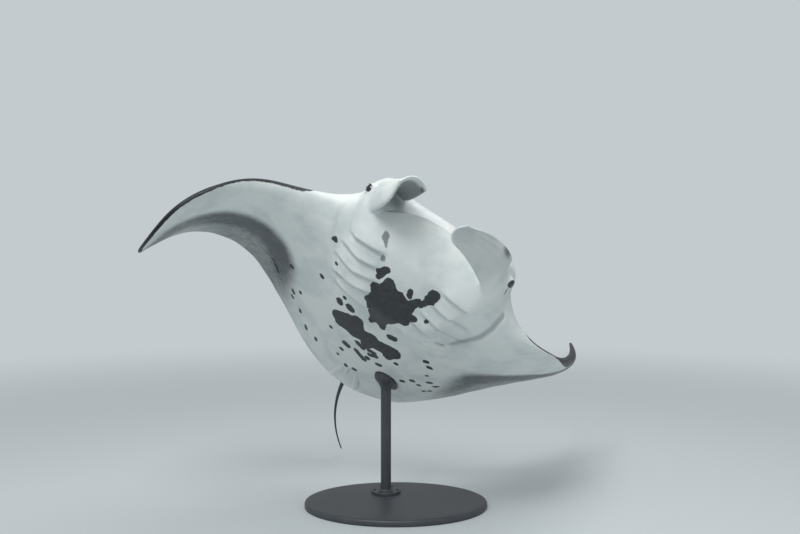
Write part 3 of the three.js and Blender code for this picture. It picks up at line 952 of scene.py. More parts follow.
@dataclass
class CephalicFin:
    """Horn-like fin beside the mouth: rows of its net run from root to tip, points across each row."""

    side: Side
    net: tuple[tuple[tuple[float, float, float], ...], ...]
    root_thickness: float = 0.016
    middle_thickness: float = 0.006
    edge_thickness: float = 0.003
    anchor: tuple[float, float, float] = (0.074, -0.075, 0.0)  # the point in the head it grows from
    root_shade: float = 0.0  # painted shade on the head below the fin's root, where its inner face runs out on to it
    root_middle: tuple[float, float, float] = (0.070, -0.022, -0.011)
    steps: int = 44
    fillet: float = 30.0

    def shade(self, points: Array) -> Array:
        """How dark the painted shade on the head beside the fin's root is, from 0 to 1."""
        middle = np.array(self.root_middle) * np.array([self.side.value, 1, 1])
        return self.root_shade * hump(np.linalg.norm(points - middle, axis=-1) / PER_MM, 0, 42)

    def sheet(self, t: Array, v: Array) -> Array:
        """Middle surface: t runs from root to tip, v across the fin.

        Args:
            t: Positions from root to tip, below 0 inside the head.
            v: Positions across the fin.

        Returns:
            Points in the animal's own axes.
        """
        side = np.array([self.side.value, 1, 1])
        rows = [bezier([np.array(p) * side for p in row], v[..., None]) for row in self.net]
        # Behind its root the fin runs on into the head, and narrows there.
        inside = np.clip(-t, 0, 1)[..., None]
        return mix(bezier(rows, np.maximum(t, 0)[..., None]), np.array(self.anchor) * side, 1.6 * inside)

    def shell(self) -> Shell:
        """The fin as a closed lens with rounded edges, its root carried on into the head.

        Returns:
            The fin, with its pattern.
        """
        n = self.steps
        t = mix(-0.16, 1.0, np.sin(0.5 * np.pi * np.arange(n + 1) / n) ** 1.15)
        v = 0.5 - 0.5 * np.cos(np.pi * np.arange(n + 1) / n)
        t, v = np.meshgrid(t, v, indexing="ij")
        step = 0.001
        across = self.sheet(t, v + step) - self.sheet(t, v - step)
        along = self.sheet(t + step, v) - self.sheet(t - step, v)
        normal = unit(np.cross(along, across))
        lens = np.sqrt(np.maximum(0, 1 - (2 * v - 1) ** 2)) * (1 - np.clip(t, 0, 1) ** 3)
        core = mix(self.root_thickness, self.middle_thickness, np.clip(t, 0, 1))
        thick = mix(self.edge_thickness, core, lens)
        # Rounded rim: the thickness closes over the last few millimetres of the edge.
        margin = np.minimum(np.minimum(v, 1 - v) * 0.075, (1 - t) * 0.075) / (0.5 * self.edge_thickness)
        thick *= np.sqrt(np.clip(1 - (1 - np.clip(margin, 0, 1)) ** 2, 0, 1))
        # Faint rays of cartilage stiffen the blade.
        thick *= 1 + 0.05 * np.sin(34 * v) * ease(0.1, 0.3, t) * (1 - ease(0.8, 1, t))
        middle = self.sheet(t, v)
        fin = slab_between([middle + normal * (face * thick / 2)[..., None] for face in (1, -1)])
        outer = np.repeat([1.0, 0.0], t.size)
        fin.values["smudge"] = self.smudge(np.tile(t.ravel(), 2), np.tile(v.ravel(), 2), outer)
        return fin

    def smudge(self, t: Array, v: Array, outer: Array) -> Array:
        """How dark the fin is, from 0 to 1: a dusky inner face with painted shade, and a darker patch.

        Args:
            t: Positions from root to tip.
            v: Positions across the fin.
            outer: 1 on the outer face, 0 on the inner one.

        Returns:
            The darkness at each corner.
        """
        inner = 1 - outer
        if self.side is Side.RIGHT:
            patch = hump(t, 0.88, 0.07) * ease(0.82, 0.97, v)
            # The right fin's inner face is dusky skin darkened further with painted shade inside its scoop.
            return np.maximum(0.68 * inner * ease(-0.1, 0.12, t) * (1 - 0.85 * ease(0.82, 0.95, t)), patch)
        patch = 0.9 * hump(t, 0.2, 0.12) * ease(0.66, 0.9, v)
        return np.maximum(0.26 * inner * ease(0.0, 0.25, t), patch)


@dataclass
class Tail:
    """Thin whip behind the disc."""

    path: tuple[tuple[float, float, float], ...] = (
        (0, -0.405, 0.001), (0, -0.451, 0.012), (-0.007, -0.557, 0.019), (-0.069, -0.650, 0.033),
    )
    sides: int = 16
    rings: int = 90
    fillet: float = 14.0

    def shell(self) -> Shell:
        """The whip as a closed tube, its root carried on into the body.

        Returns:
            The tail, with its pattern.
        """
        t = np.linspace(-0.08, 1, self.rings)
        controls = [np.array(p) for p in self.path]
        middle = bezier(controls, t[:, None])
        along = unit(bezier(controls, t[:, None] + 0.001) - bezier(controls, t[:, None] - 0.001))
        across = unit(np.cross(np.array([1.0, 0, 0]), along))
        lift = np.cross(along, across)
        share = np.clip(t, 0, 1) ** 0.3
        closing = np.sqrt(np.clip((1.0005 - t) / 0.006, 0, 1))
        wide, tall = mix(0.0074, 0.0012, share) * closing, mix(0.0060, 0.0010, share) * closing
        turn = 2 * np.pi * np.arange(self.sides) / self.sides
        whip = tube(
            middle[:, None]
            + across[:, None] * (tall[:, None] * np.sin(turn))[..., None]
            + lift[:, None] * (wide[:, None] * np.cos(turn))[..., None]
        )
        whip.values = pattern(len(whip.points), past_back=FAR)
        return whip


@dataclass
class DorsalFin:
    """Small back-swept fin ahead of the tail."""

    front: float = -0.350
    length: float = 0.052
    height: float = 0.034
    thickness: float = 0.006
    fillet: float = 14.0

    def shell(self) -> Shell:
        """The fin as a closed slab with rounded edges.

        Returns:
            The fin, with its pattern.
        """
        u = 0.5 - 0.5 * np.cos(np.pi * np.arange(25) / 24)
        v = mix(-0.35, 1.0, np.sin(0.5 * np.pi * np.arange(17) / 16))
        u, v = np.meshgrid(u, v, indexing="ij")
        up = np.clip(v, 0, 1)
        chord = self.length * (1 - 0.62 * up**1.5)
        y = self.front - 0.045 * up**1.3 - chord * u
        half = 0.0001 + (self.thickness / 2) * np.sin(np.pi * u) ** 0.7 * (1 - 0.7 * up)
        half *= np.sqrt(np.clip((1.001 - v) / 0.05, 0, 1))
        sheets = [np.stack([face * half, y, 0.004 + self.height * v], -1) for face in (1, -1)]
        return slab_between(sheets, past_back=FAR)


@dataclass
class PelvicFin:
    """Rounded flap beside the tail's root."""

    side: Side
    x: float = 0.013
    front: float = -0.366
    length: float = 0.049
    width: float = 0.012
    thickness: float = 0.005
    fillet: float = 10.0

    def shell(self) -> Shell:
        """The flap as a closed slab with rounded edges.

        Returns:
            The flap, with its pattern.
        """
        u = 0.5 - 0.5 * np.cos(np.pi * np.arange(15) / 14)
        v = 0.5 - 0.5 * np.cos(np.pi * np.arange(23) / 22)
        u, v = np.meshgrid(u, v, indexing="ij")
        half = (self.width / 2) * np.sin(np.pi * (0.12 + 0.80 * v)) ** 0.8
        rise = (self.thickness / 2) * np.sin(np.pi * u) ** 0.6 * (1 - 0.5 * v)
        rise = 0.0001 + rise * np.sqrt(np.clip(np.minimum(v, 1 - v) / 0.06, 0, 1))
        x = self.side.value * (self.x + 0.010 * v + mix(-half, half, u))
        y, z = self.front - self.length * v, -0.017 + 0.007 * v
        return slab_between([np.stack([x, y, z + face * rise], -1) for face in (1, -1)])


def slab_between(sheets: Sequence[Array], **known: float) -> Shell:
    """Closed slab between two sheets of corners on the same grid.

    Args:
        sheets: The two sheets.
        **known: Values of the skin's pattern.

    Returns:
        The slab.
    """
    columns, rows = sheets[0].shape[:2]
    count = columns * rows
    faces = grid_faces(columns, rows) + [tuple(reversed(f)) for f in grid_faces(columns, rows, count)]
    ring = [i * rows for i in range(columns)] + [(columns - 1) * rows + j for j in range(1, rows)]
    ring += [i * rows + rows - 1 for i in range(columns - 2, -1, -1)] + list(range(rows - 2, 0, -1))
    for a, b in zip(ring, ring[1:] + ring[:1]):
        faces.append((b, a, a + count, b + count))
    points = np.concatenate([sheet.reshape(-1, 3) for sheet in sheets])
    return Shell(points, faces, pattern(len(points), **known)).outward()


@dataclass
class Eye:
    """One eyeball under its lids. It looks out to the side and a little ahead."""

    side: Side
    centre: tuple[float, float, float] = (0.1085, -0.0365, 0.0)
    radius: float = 0.0085
    lid: float = 3.2  # thickness of the lid in millimetres
    opening: tuple[float, float] = (18.0, 23.5)  # half-width along the head and half-height, mm
    fillet: float = 46.0
    streak: float = 0.0  # how far the dark streak behind the lids runs back along the head

    def middle(self) -> Array:
        """The eyeball's centre in the animal's own axes."""
        return np.array(self.centre) * np.array([self.side.value, 1, 1])

    def axes(self) -> Array:
        """Rows: along the head, up the head, and the way the eye looks.

        Returns:
            The three directions, in the animal's own axes.
        """
        look = unit(np.array([self.side.value * 0.74, 0.45, -0.50]))
        up = unit(np.cross(look, np.array([0.0, 1.0, 0.0])) * self.side.value)
        return np.stack([np.cross(up, look), up, look])

    def ball(self, radius: float, turns: int, rings: int) -> Shell:
        """Closed ball around the eye's centre, its pole along the way the eye looks.

        Args:
            radius: The ball's radius.
            turns: Corners in each ring.
            rings: Rings between the poles.

        Returns:
            The ball, with the lids' dark rims as its pattern.
        """
        level = np.pi * (np.arange(rings) + 1) / (rings + 1)
        turn = 2 * np.pi * np.arange(turns) / turns
        ring = np.sin(level)[:, None]
        local = np.stack(
            [ring * np.cos(turn), ring * np.sin(turn), np.cos(level)[:, None] + 0 * ring * turn], -1
        ).reshape(-1, 3)
        local = np.concatenate([local, [[0, 0, 1.0], [0, 0, -1.0]]])
        faces = grid_faces(rings, turns, loop=True)
        top, bottom, last = len(local) - 2, len(local) - 1, (rings - 1) * turns
        for j in range(turns):
            k = (j + 1) % turns
            faces.append((top, k, j))
            faces.append((bottom, last + j, last + k))
        points = self.middle() + (local * radius) @ self.axes()
        # The lids' rims are black, and pale again a little way off.
        return Shell(points, faces, pattern(len(points), smudge=ease(0.62, 0.84, local[:, 2]))).outward()

    def shade(self, points: Array) -> Array:
        """How dark the skin just behind the lids is, from 0 to 1.

        Args:
            points: Corners of the skin, in the animal's own axes.

        Returns:
            The darkness at each corner.
        """
        mirror = np.array([self.side.value, 1, 1])
        start = self.middle() + np.array([0.002, -0.0035, -0.004]) * mirror
        step = self.streak * unit(np.array([0.35, -0.83, -0.43]) * mirror)
        share = np.clip((points - start) @ step / max(float(step @ step), 1e-9), 0, 1)
        off = np.linalg.norm(points - start - share[:, None] * step, axis=-1) / PER_MM
        return hump(off, 0, 12) * (1 - ease(0.4, 1.0, share)) * (self.streak > 0)

    def socket_bulge(self) -> Shell:
        """The lids as a ball that swells the skin around the eye."""
        return self.ball(self.radius + self.lid * PER_MM, 56, 34)

    def cutter(self) -> Shell:
        """Oval cutter that parts the lids, from the eyeball's middle outwards.

        Returns:
            The cutter.
        """
        turn = 2 * np.pi * np.arange(56) / 56
        wide, tall = (v * PER_MM for v in self.opening)
        # The opening comes to a soft point ahead and behind, as an eye's corners do.
        oval = np.stack([wide * np.cos(turn), tall * np.sin(turn) * (1 - 0.10 * np.cos(turn) ** 2)], -1)
        rings = []
        for depth, spread in ((0.30, 0.86), (0.62, 0.93), (0.80, 1.0), (1.04, 1.04), (1.35, 1.30)):
            ring = np.column_stack([oval * spread, np.full(len(oval), depth * self.radius)])
            rings.append(self.middle() + ring @ self.axes())
        made = tube(rings)
        made.values = pattern(len(made.points))
        return made


@dataclass
class MantaSkin:
    """The whole skin: disc, cephalic fins, lids, tail and small fins as one closed mesh."""

    disc: Disc
    wings: dict[Side, Wing]
    relief: Relief
    markings: Markings
    parts: Sequence[Any]
    eyes: Sequence[Eye]
    span: float = 0.997
    fine: float = 7.0  # millimetres between corners on the head
    coarse: float = 33.0  # millimetres between corners on the wings
    fold_shade_depth: float = 14.0  # millimetres sunk at which the painted shade of a slit or crease is darkest
    tip_black: float = 160.0  # millimetres over which the belly is black round a wing's tip

    def columns(self) -> Array:
        """Signed span stations, close together on the head and further apart on the wings.

        Returns:
            The stations, from the left wing's tip to the right one's.
        """
        s = np.linspace(0, self.span, 3000)
        length = np.zeros_like(s)
        for c in (0.0, 0.12, 0.3):
            x, y = self.disc.point(s, np.full_like(s, c))
            steps = np.hypot(np.diff(x), np.diff(y))
            length = np.maximum(length, np.concatenate([[0], np.cumsum(steps)]))
        x, _ = self.disc.point(s, np.full_like(s, 0.2))
        spacing = mix(self.fine, self.coarse, ease(0.11, 0.36, x)) * PER_MM
        half = evenly(length, s, spacing)
        return np.concatenate([-half[:0:-1], half])

    def rows(self, face: Face) -> Array:
        """Chord stations, close together round the rounded front.

        Args:
            face: Back or belly.

        Returns:
            The stations, from the front edge to the rear edge.
        """
        c = np.linspace(0, 1, 20001) ** 2
        _, y = self.disc.point(np.zeros_like(c), c)
        z = self.disc.height(np.zeros_like(c), y, c, face)
        length = np.concatenate([[0], np.cumsum(np.hypot(np.diff(y), np.diff(z)))])
        run = length / PER_MM
        if face is Face.BELLY:
            spacing = mix(2.6, 6.3, ease(70, 120, run)) + 4.5 * ease(680, 1000, run)
        else:
            spacing = mix(6.0, 26.0, ease(60, 260, run)) + 14 * ease(500, 1000, run)
        return evenly(length, c, spacing * PER_MM)

    def sheet(self, face: Face, s: Array, c: Array) -> tuple[Array, dict[str, Array]]:
        """Corners of the back or the belly, and what they say of the pattern.

        Args:
            face: Back or belly.
            s: Signed span stations.
            c: Chord stations.

        Returns:
            Corners on a grid, and the pattern's values on the same grid.
        """
        s, c = np.meshgrid(s, c, indexing="ij")
        x, y = self.disc.point(np.abs(s), c)
        overbite = self.disc.jaw_step * (1 - ease(0, 0.1, c)) * (1 - ease(0.05, 0.085, x))
        if face is Face.BACK:
            y = y - overbite
        height = self.disc.height(x, y, c, face)
        mouth = self.relief.mouth
        z = face.value * height
        front = 1 - ease(0.1, 0.16, c)
        if face is Face.BELLY:
            above = ease(mouth.line(x) - 4 * PER_MM, mouth.line(x) + 1 * PER_MM, z)
            carved = np.where(s >= 0, *(self.relief.belly(x, y, side) for side in (Side.RIGHT, Side.LEFT)))
            carved = carved * ease(0.0, 0.03, c)
            height = height + carved
            moved = y - overbite * above + mouth.lip(x, z) * front
        else:
            height = height + self.relief.back(x, y) * ease(0.05, 0.12, c)
            moved = y + mouth.lip(x, z) * front
        points = np.empty(s.shape + (3,))
        values = {name: v.reshape(s.shape) for name, v in pattern(s.size).items()}
        for side, wing in self.wings.items():
            on = (s >= 0) if side is Side.RIGHT else (s < 0)
            rows = np.any(on, axis=1)
            points[rows] = wing.place(x[rows], moved[rows], face.value * height[rows])
            if face is Face.BELLY:
                signed = side.value * x[rows]
                values["to_mark"][rows] = self.markings.blot(signed, y[rows])
                values["smudge"][rows] = self.markings.faint(signed, y[rows])
                values["dusk"][rows] = self.markings.dusk(x[rows], y[rows], side)
                values["past_back"][rows] = self.past_back_from_below(x[rows], y[rows], side)
                # Painted shade in slits and creases, darker the deeper they are sunk.
                values["fold_shade"][rows] = np.clip(-carved[rows] / (self.fold_shade_depth * PER_MM), 0, 1)
            else:
                values["past_back"][rows] = self.past_back_from_above(x[rows], y[rows], height[rows], side)
                values["shoulder"][rows] = self.shoulder(x[rows], y[rows])
        return points, {name: v.ravel() for name, v in values.items()}

    def past_back_from_below(self, x: Array, y: Array, side: Side) -> Array:
        """Millimetres past the black back's edge on the belly: a thin dark line rims the wings.

        Args:
            x, y: Out from the midline, and forward.
            side: Which wing.

        Returns:
            The distance, above 0 where the skin is black.
        """
        rimmed = ease(0.27, 0.32, x) if side is Side.LEFT else ease(0.155, 0.19, x)
        rim = mix(-30, mix(5, 10, ease(0.3, 0.46, x)), rimmed)
        # The belly is black round the tips, over a wider band on the left wing, which curls up.
        black = ease(0.31, 0.37, x) if side is Side.LEFT else ease(0.46, 0.50, x)
        from_front, from_rear = (self.edge(x, 0) - y) / PER_MM, (y - self.edge(x, 1)) / PER_MM
        past_front = rim + self.tip_black * black - from_front
        past_rear = self.tip_black * black - 8 - from_rear
        return np.clip(np.maximum(past_front, past_rear), -FAR, FAR)

    def edge(self, x: Array, c: float) -> Array:
        """How far forward an edge of the disc lies.

        Args:
            x: Out from the midline.
            c: 0 for the front edge, 1 for the rear edge.

        Returns:
            The edge's y at each x.
        """
        s = np.linspace(0, 1, 400)
        span = np.interp(x, self.disc.point(s, np.full_like(s, c))[0], s)
        return self.disc.point(span, np.full_like(x, c))[1]

    def past_back_from_above(self, x: Array, y: Array, height: Array, side: Side) -> Array:
        """Millimetres past the black back's edge on the back: the pale chin and cheeks reach over it.

        Args:
            x, y: Out from the midline, and forward.
            height: Height of the back there.
            side: Which wing; the left one's blunt front edge is white as far as its middle.

        Returns:
            The distance, above 0 where the skin is black.
        """
        behind = np.maximum(self.edge(x, 0) - y, 0) / PER_MM
        if side is Side.RIGHT:
            blunt = 1 - ease(0.14, 0.2, x)
            reach = -20.0
        else:
            blunt = 1 - ease(0.27, 0.33, x)
            reach = mix(-20, 16, blunt)
        cheek = mix(190, reach, ease(0.125, 0.19, x))
        cheek = mix(cheek, 150, 1 - ease(0.03, 0.07, x))
        return np.clip(behind + height / PER_MM * blunt - cheek, -FAR, FAR)

    def shoulder(self, x: Array, y: Array) -> Array:
        """How strongly the pale shoulder patches show on the back, from 0 to 1.

        Args:
            x, y: Out from the midline, and forward.

        Returns:
            The patch's strength at each point.
        """
        off, share = distance_along(x, y, [(0.045, -0.115), (0.10, -0.135), (0.15, -0.185), (0.17, -0.25)])
        off = off / PER_MM
        wide = np.where(off > 0, mix(70, 45, share), mix(260, 170, share))
        return np.exp(-((off / wide) ** 2)) * ease(0, 0.3, share) * (1 - ease(0.5, 1, share))

    def disc_shell(self) -> Shell:
        """The disc's own closed mesh, with the relief and the pattern on it.

        Returns:
            The disc, with its pattern.
        """
        s = self.columns()
        grids, shells = {}, None
        for face in (Face.BACK, Face.BELLY):
            c = self.rows(face)
            points, values = self.sheet(face, s, c)
            faces = grid_faces(len(s), len(c))
            if face is Face.BELLY:
                faces = [tuple(reversed(f)) for f in faces]
            sheet = Shell(points.reshape(-1, 3), faces, values)
            grids[face] = (0 if shells is None else len(shells.points), c)
            shells = sheet if shells is None else shells.joined(sheet)
        (back, back_c), (belly, belly_c) = grids[Face.BACK], grids[Face.BELLY]
        n, m = len(back_c), len(belly_c)
        for i in range(len(s) - 1):
            shells.faces.append((back + i * n, back + (i + 1) * n, belly + (i + 1) * m, belly + i * m))
            shells.faces.append((
                belly + i * m + m - 1, belly + (i + 1) * m + m - 1,
                back + (i + 1) * n + n - 1, back + i * n + n - 1,
            ))
        along = np.concatenate([np.tile(back_c, len(s)), np.tile(belly_c, len(s))])
        for i, flip in ((0, False), (len(s) - 1, True)):
            one = list(range(back + i * n, back + (i + 1) * n))
            other = list(range(belly + i * m, belly + (i + 1) * m))
            strip = zip_rows(one, other, along)
            shells.faces += [tuple(reversed(f)) if flip else f for f in strip]
        return shells.outward()

    def build(self, posture: Posture, material: bpy.types.Material) -> bpy.types.Object:
        """Joins everything, softens the joins and opens the lids.

        Args:
            posture: Where the animal is and how it banks.
            material: The skin's finish.

        Returns:
            The finished skin.
        """
        disc = self.disc_shell()
        LOG.info("disc: %d corners", len(disc.points))
        extras = [(part.shell(), part.fillet) for part in self.parts]
        extras += [(eye.socket_bulge(), eye.fillet) for eye in self.eyes]
        joined = reduce(Shell.joined, [shell for shell, _ in extras])
        fillet = np.concatenate([np.full(len(shell.points), reach) for shell, reach in extras])
        mesh = combined(mesh_object("disc", disc), mesh_object("additions", joined), "UNION")
        everything = disc.joined(joined)
        points = corners(mesh)
        nearest, off = nearest_of(everything.points, points)
        values = {name: v[nearest] for name, v in everything.values.items()}
        seam = points[off > SAME]
        closest, _ = nearest_of(joined.points, seam)
        points = soften(mesh, points, seam, fillet[closest] * PER_MM)
        faces = [tuple(p.vertices) for p in mesh.polygons]
        skin = mesh_object("skin", Shell(points, faces, values))
        cutter = reduce(Shell.joined, [eye.cutter() for eye in self.eyes])
        mesh = combined(skin, mesh_object("lid_cutter", cutter), "DIFFERENCE")
        before, points = points, corners(mesh)
        nearest, _ = nearest_of(before, points)
        values = {name: v[nearest] for name, v in values.items()}
        # The eyes' dark streaks, and painted shade on the head under the right fin's root.
        shaded = [part.shade(points) for part in (*self.parts, *self.eyes) if hasattr(part, "shade")]
        values["smudge"] = np.maximum.reduce([values["smudge"], *shaded])
        faces = [tuple(p.vertices) for p in mesh.polygons]
        return mesh_object("manta_skin", Shell(posture.settle(points), faces, values), material)


def nearest_of(known: Array, points: Array) -> tuple[Array, Array]:
    """For every point, the nearest known point's index and how far off it is.

    Args:
        known: Points to choose from.
        points: Points that each look for the nearest of them.

    Returns:
        The nearest one's index, and the distance to it.
    """
    tree = KDTree(len(known))
    for i, p in enumerate(known.tolist()):
        tree.insert(p, i)
    tree.balance()
    found = [tree.find(p) for p in points.tolist()]
    return np.array([f[1] for f in found]), np.array([f[2] for f in found])


def soften(mesh: bpy.types.Mesh, points: Array, seam: Array, reach: Array, rounds: int = 36) -> Array:
    """Rounds the creases where parts of the body meet.

    Args:
        mesh: The joined mesh.
        points: Its corners.
        seam: Points along the creases.
        reach: How far from each of them the skin is rounded.
        rounds: How often each corner moves towards its neighbours' middle.

    Returns:
        The corners, moved.
    """
    nearest, off = nearest_of(seam, points)
    weight = 1 - ease(0.35, 1.0, off / reach[nearest])
    ends = np.empty(len(mesh.edges) * 2, int)
    mesh.edges.foreach_get("vertices", ends)
    ends = ends.reshape(-1, 2)
    ends = ends[(weight[ends] > 0).any(axis=1)]
    count = np.bincount(ends.ravel(), minlength=len(points)).astype(float)
    moved = points.copy()
    for _ in range(rounds):
        total = np.zeros_like(moved)
        for k in range(3):
            total[:, k] = np.bincount(ends[:, 0], moved[ends[:, 1], k], len(points))
            total[:, k] += np.bincount(ends[:, 1], moved[ends[:, 0], k], len(points))
        middle = total / np.maximum(count, 1)[:, None]
        share = 0.6 * weight * (count > 0)
        moved += (middle - moved) * share[:, None]
    return moved


# ---------- finishes


@dataclass(frozen=True)
class MantaHide:
    """Hide of a reef manta: skin set close with denticles too fine to see, damp and satin.

    The belly is white with black blots and greys towards the wings' rear edges; the back is black.
    """

    white: str = "E6EBE9"
    pearl: str = "C6D0D1"
    # Colour of the painted shade in slits and creases, which partly stands for the gill slits' darker inner
    # skin.
    crease: str = "7F8C90"
    dusky: str = "2C353B"
    ink: str = "15191D"
    slate: str = "2E363B"
    shoulder: str = "A4ACAB"
    roughness: float = 0.44

    def build(self) -> bpy.types.Material:
        """Lays the belly, the marks, painted shade and the back over one another by the pattern the corners
        carry.

        Returns:
            The material.
        """
        material, tree, shader = new_material("manta_hide_satin", {"Specular IOR Level": 0.42})
        place = add_node(tree, "ShaderNodeTexCoord").outputs["Object"]
        said = {
            name: add_node(tree, "ShaderNodeAttribute", {"attribute_name": name}).outputs["Fac"]
            for name in PATTERN
        }
        # Size of each noise's patches in millimetres, and its detail: a cloudy tone, mottling, the
        # ragged edge of a mark, specks, the denticles' grain and the skin's shallow creases.
        patches = {
            "cloud": (160, 3.0), "mottle": (28, 4.0), "ragged": (16, 5.0),
            "speck": (5, 2.0), "grain": (2.5, 1.0), "crease": (34, 2.0),
        }
        noise = {
            name: add_node(
                tree,
                "ShaderNodeTexNoise",
                inputs={"Vector": place, "Scale": 1 / (size * MM), "Detail": detail, "Roughness": 0.55},
            ).outputs["Fac"]
            for name, (size, detail) in patches.items()
        }
        cloud, mottle, ragged = noise["cloud"], noise["mottle"], noise["ragged"]
        pale = self.tone(tree, cloud, 0.42, 0.66, linear(self.white), linear(self.pearl), 0.55)
        pale = self.tone(tree, noise["speck"], 0.60, 0.74, pale, linear(self.pearl), 0.35)
        # Sums that make a value uneven: a noise, how far it reaches, and the value. The noise averages
        # a half, so a ragged edge lies about half the noise's reach further on.
        sums = {
            "dusk": (mottle, 0.5, 0.75),
            "mark": (ragged, 16.0, said["to_mark"]),
            "back": (ragged, 9.0, said["past_back"]),
            "patch": (mottle, 0.5, said["shoulder"]),
        }
        uneven = {
            name: add_node(
                tree, "ShaderNodeMath", {"operation": "MULTIPLY_ADD"}, dict(enumerate(parts))
            ).outputs[0]
            for name, parts in sums.items()
        }
        # The dusky band is mottled, most of all where it fades.
        broken = add_node(
            tree, "ShaderNodeMath", {"operation": "MULTIPLY"}, {0: uneven["dusk"], 1: said["dusk"]}
        ).outputs[0]
        # Slits and creases darken with painted shade by how deep they are sunk, partly the gill slits' darker
        # inner skin.
        colour = self.tone(tree, said["fold_shade"], 0.1, 1.0, pale, linear(self.crease), 0.5)
        colour = self.tone(tree, broken, 0.02, 0.95, colour, linear(self.dusky), 0.90)
        ink = self.tone(tree, mottle, 0.35, 0.68, linear(self.ink), linear(self.slate), 0.75)
        colour = self.tone(tree, uneven["mark"], 10.2, 6.4, colour, ink, 0.97)
        # Small grey marks, the lids' black rims and the fins' dusky faces, with painted shade in and under
        # the right cephalic fin.
        colour = self.tone(tree, said["smudge"], 0.0, 1.0, colour, linear(self.slate), 0.85)
        cape = self.tone(tree, cloud, 0.4, 0.7, linear(self.ink), linear(self.slate), 0.5)
        back = self.tone(tree, uneven["patch"], 0.4, 1.25, cape, linear(self.shoulder), 0.8)
        colour = self.tone(tree, uneven["back"], 2.5, 8.0, colour, back, 1.0)
        tree.links.new(colour, shader.inputs["Base Color"])
        sheen = add_node(
            tree,
            "ShaderNodeMapRange",
            inputs={"Value": mottle, "From Min": 0.3, "From Max": 0.7,
                    "To Min": self.roughness - 0.05, "To Max": self.roughness + 0.09},
        )
        tree.links.new(sheen.outputs["Result"], shader.inputs["Roughness"])
        # Denticles feel like fine sandpaper; they are drawn 2.5 mm across so that they show at all.
        low = add_node(
            tree, "ShaderNodeBump", inputs={"Strength": 0.35, "Distance": 4.0 * MM, "Height": noise["crease"]}
        )
        fine = add_node(
            tree,
            "ShaderNodeBump",
            inputs={"Strength": 0.22, "Distance": 0.5 * MM, "Height": noise["grain"],
                    "Normal": low.outputs["Normal"]},
        )
        tree.links.new(fine.outputs["Normal"], shader.inputs["Normal"])
        return material

    def tone(
        self, tree: bpy.types.NodeTree, value: bpy.types.NodeSocket, start: float, stop: float,
        below: Any, above: Any, most: float,
    ) -> bpy.types.NodeSocket:
        """Colour that turns from one to another as a value passes from start to stop.

        Args:
            tree: The material's tree.
            value: What the turn follows.
            start, stop: Where it begins and ends; stop may lie below start.
            below, above: Colour or socket before the turn and past it.
            most: How much of the second colour there is past the turn.

        Returns:
            The colour's socket.
        """
        ends = (most, 0.0) if stop < start else (0.0, most)
        share = add_node(
            tree,
            "ShaderNodeMapRange",
            {"interpolation_type": "SMOOTHSTEP"},
            {"Value": value, "From Min": min(start, stop), "From Max": max(start, stop),
             "To Min": ends[0], "To Max": ends[1]},
        ).outputs["Result"]
        blend = add_node(tree, "ShaderNodeMix", {"data_type": "RGBA"}, {0: share, 6: below, 7: above})
        return blend.outputs[2]


@dataclass(frozen=True)
class GlassEye:
    """Blown glass eye, painted from behind: dark brown iris, black pupil, and a wet clear gloss."""

    iris: str = "2A2420"
    pupil: str = "050607"
    rim: str = "15171A"

    def build(self) -> bpy.types.Material:
        """Paints rings outwards from the pupil, under a clear gloss.

        Returns:
            The material.
        """
        gloss = {"Roughness": 0.12, "Coat Weight": 1.0, "Coat Roughness": 0.03}
        material, tree, shader = new_material("glass_eye_painted", gloss)
        out = add_node(tree, "ShaderNodeAttribute", {"attribute_name": "from_pupil"}).outputs["Fac"]
        ring = add_node(tree, "ShaderNodeValToRGB", inputs={"Fac": out})
        stops = ring.color_ramp.elements
        stops[0].position, stops[0].color = 0.34, linear(self.pupil)
        stops[1].position, stops[1].color = 0.42, linear(self.iris)
        for position, colour in ((0.78, self.iris), (0.88, self.rim)):
            stop = stops.new(position)
            stop.color = linear(colour)
        tree.links.new(ring.outputs["Color"], shader.inputs["Base Color"])
        place = add_node(tree, "ShaderNodeTexCoord").outputs["Object"]
        # Fibres of the iris, 1.5 mm apart, show as a faint unevenness under the gloss.
        fibre = add_node(
            tree, "ShaderNodeTexNoise", inputs={"Vector": place, "Scale": 1 / (1.5 * MM)}
        ).outputs["Fac"]
        bump = add_node(
            tree, "ShaderNodeBump", inputs={"Strength": 0.05, "Distance": 0.2 * MM, "Height": fibre}
        )
        tree.links.new(bump.outputs["Normal"], shader.inputs["Normal"])
        return material


@dataclass(frozen=True)
class PowderCoat:
    """Mild steel with a baked powder coat: an even dark grey with the faint texture of orange peel."""

    colour: str = "3B3F43"
    worn: str = "4A4F54"
    roughness: float = 0.46

    def build(self) -> bpy.types.Material:
        """Adds orange peel and faint handling marks to an even grey.

        Returns:
            The material.
        """
        material, tree, shader = new_material("steel_powder_coated")
        place = add_node(tree, "ShaderNodeTexCoord").outputs["Object"]
        # Orange peel is about 2 mm from dimple to dimple; handling marks are a hand's width across.
        peel, marks = (
            add_node(
                tree, "ShaderNodeTexNoise", inputs={"Vector": place, "Scale": 1 / (size * MM)}
            ).outputs["Fac"]
            for size in (2, 90)
        )
        tint = add_node(
            tree,
            "ShaderNodeMix",
            {"data_type": "RGBA"},
            {0: marks, 6: linear(self.colour), 7: linear(self.worn)},
        )
        tree.links.new(tint.outputs[2], shader.inputs["Base Color"])
        sheen = add_node(
            tree,
            "ShaderNodeMapRange",
            inputs={"Value": marks, "To Min": self.roughness - 0.06, "To Max": self.roughness + 0.06},
        )
        tree.links.new(sheen.outputs["Result"], shader.inputs["Roughness"])
        bump = add_node(
            tree, "ShaderNodeBump", inputs={"Strength": 0.12, "Distance": 0.15 * MM, "Height": peel}
        )
        tree.links.new(bump.outputs["Normal"], shader.inputs["Normal"])
        return material


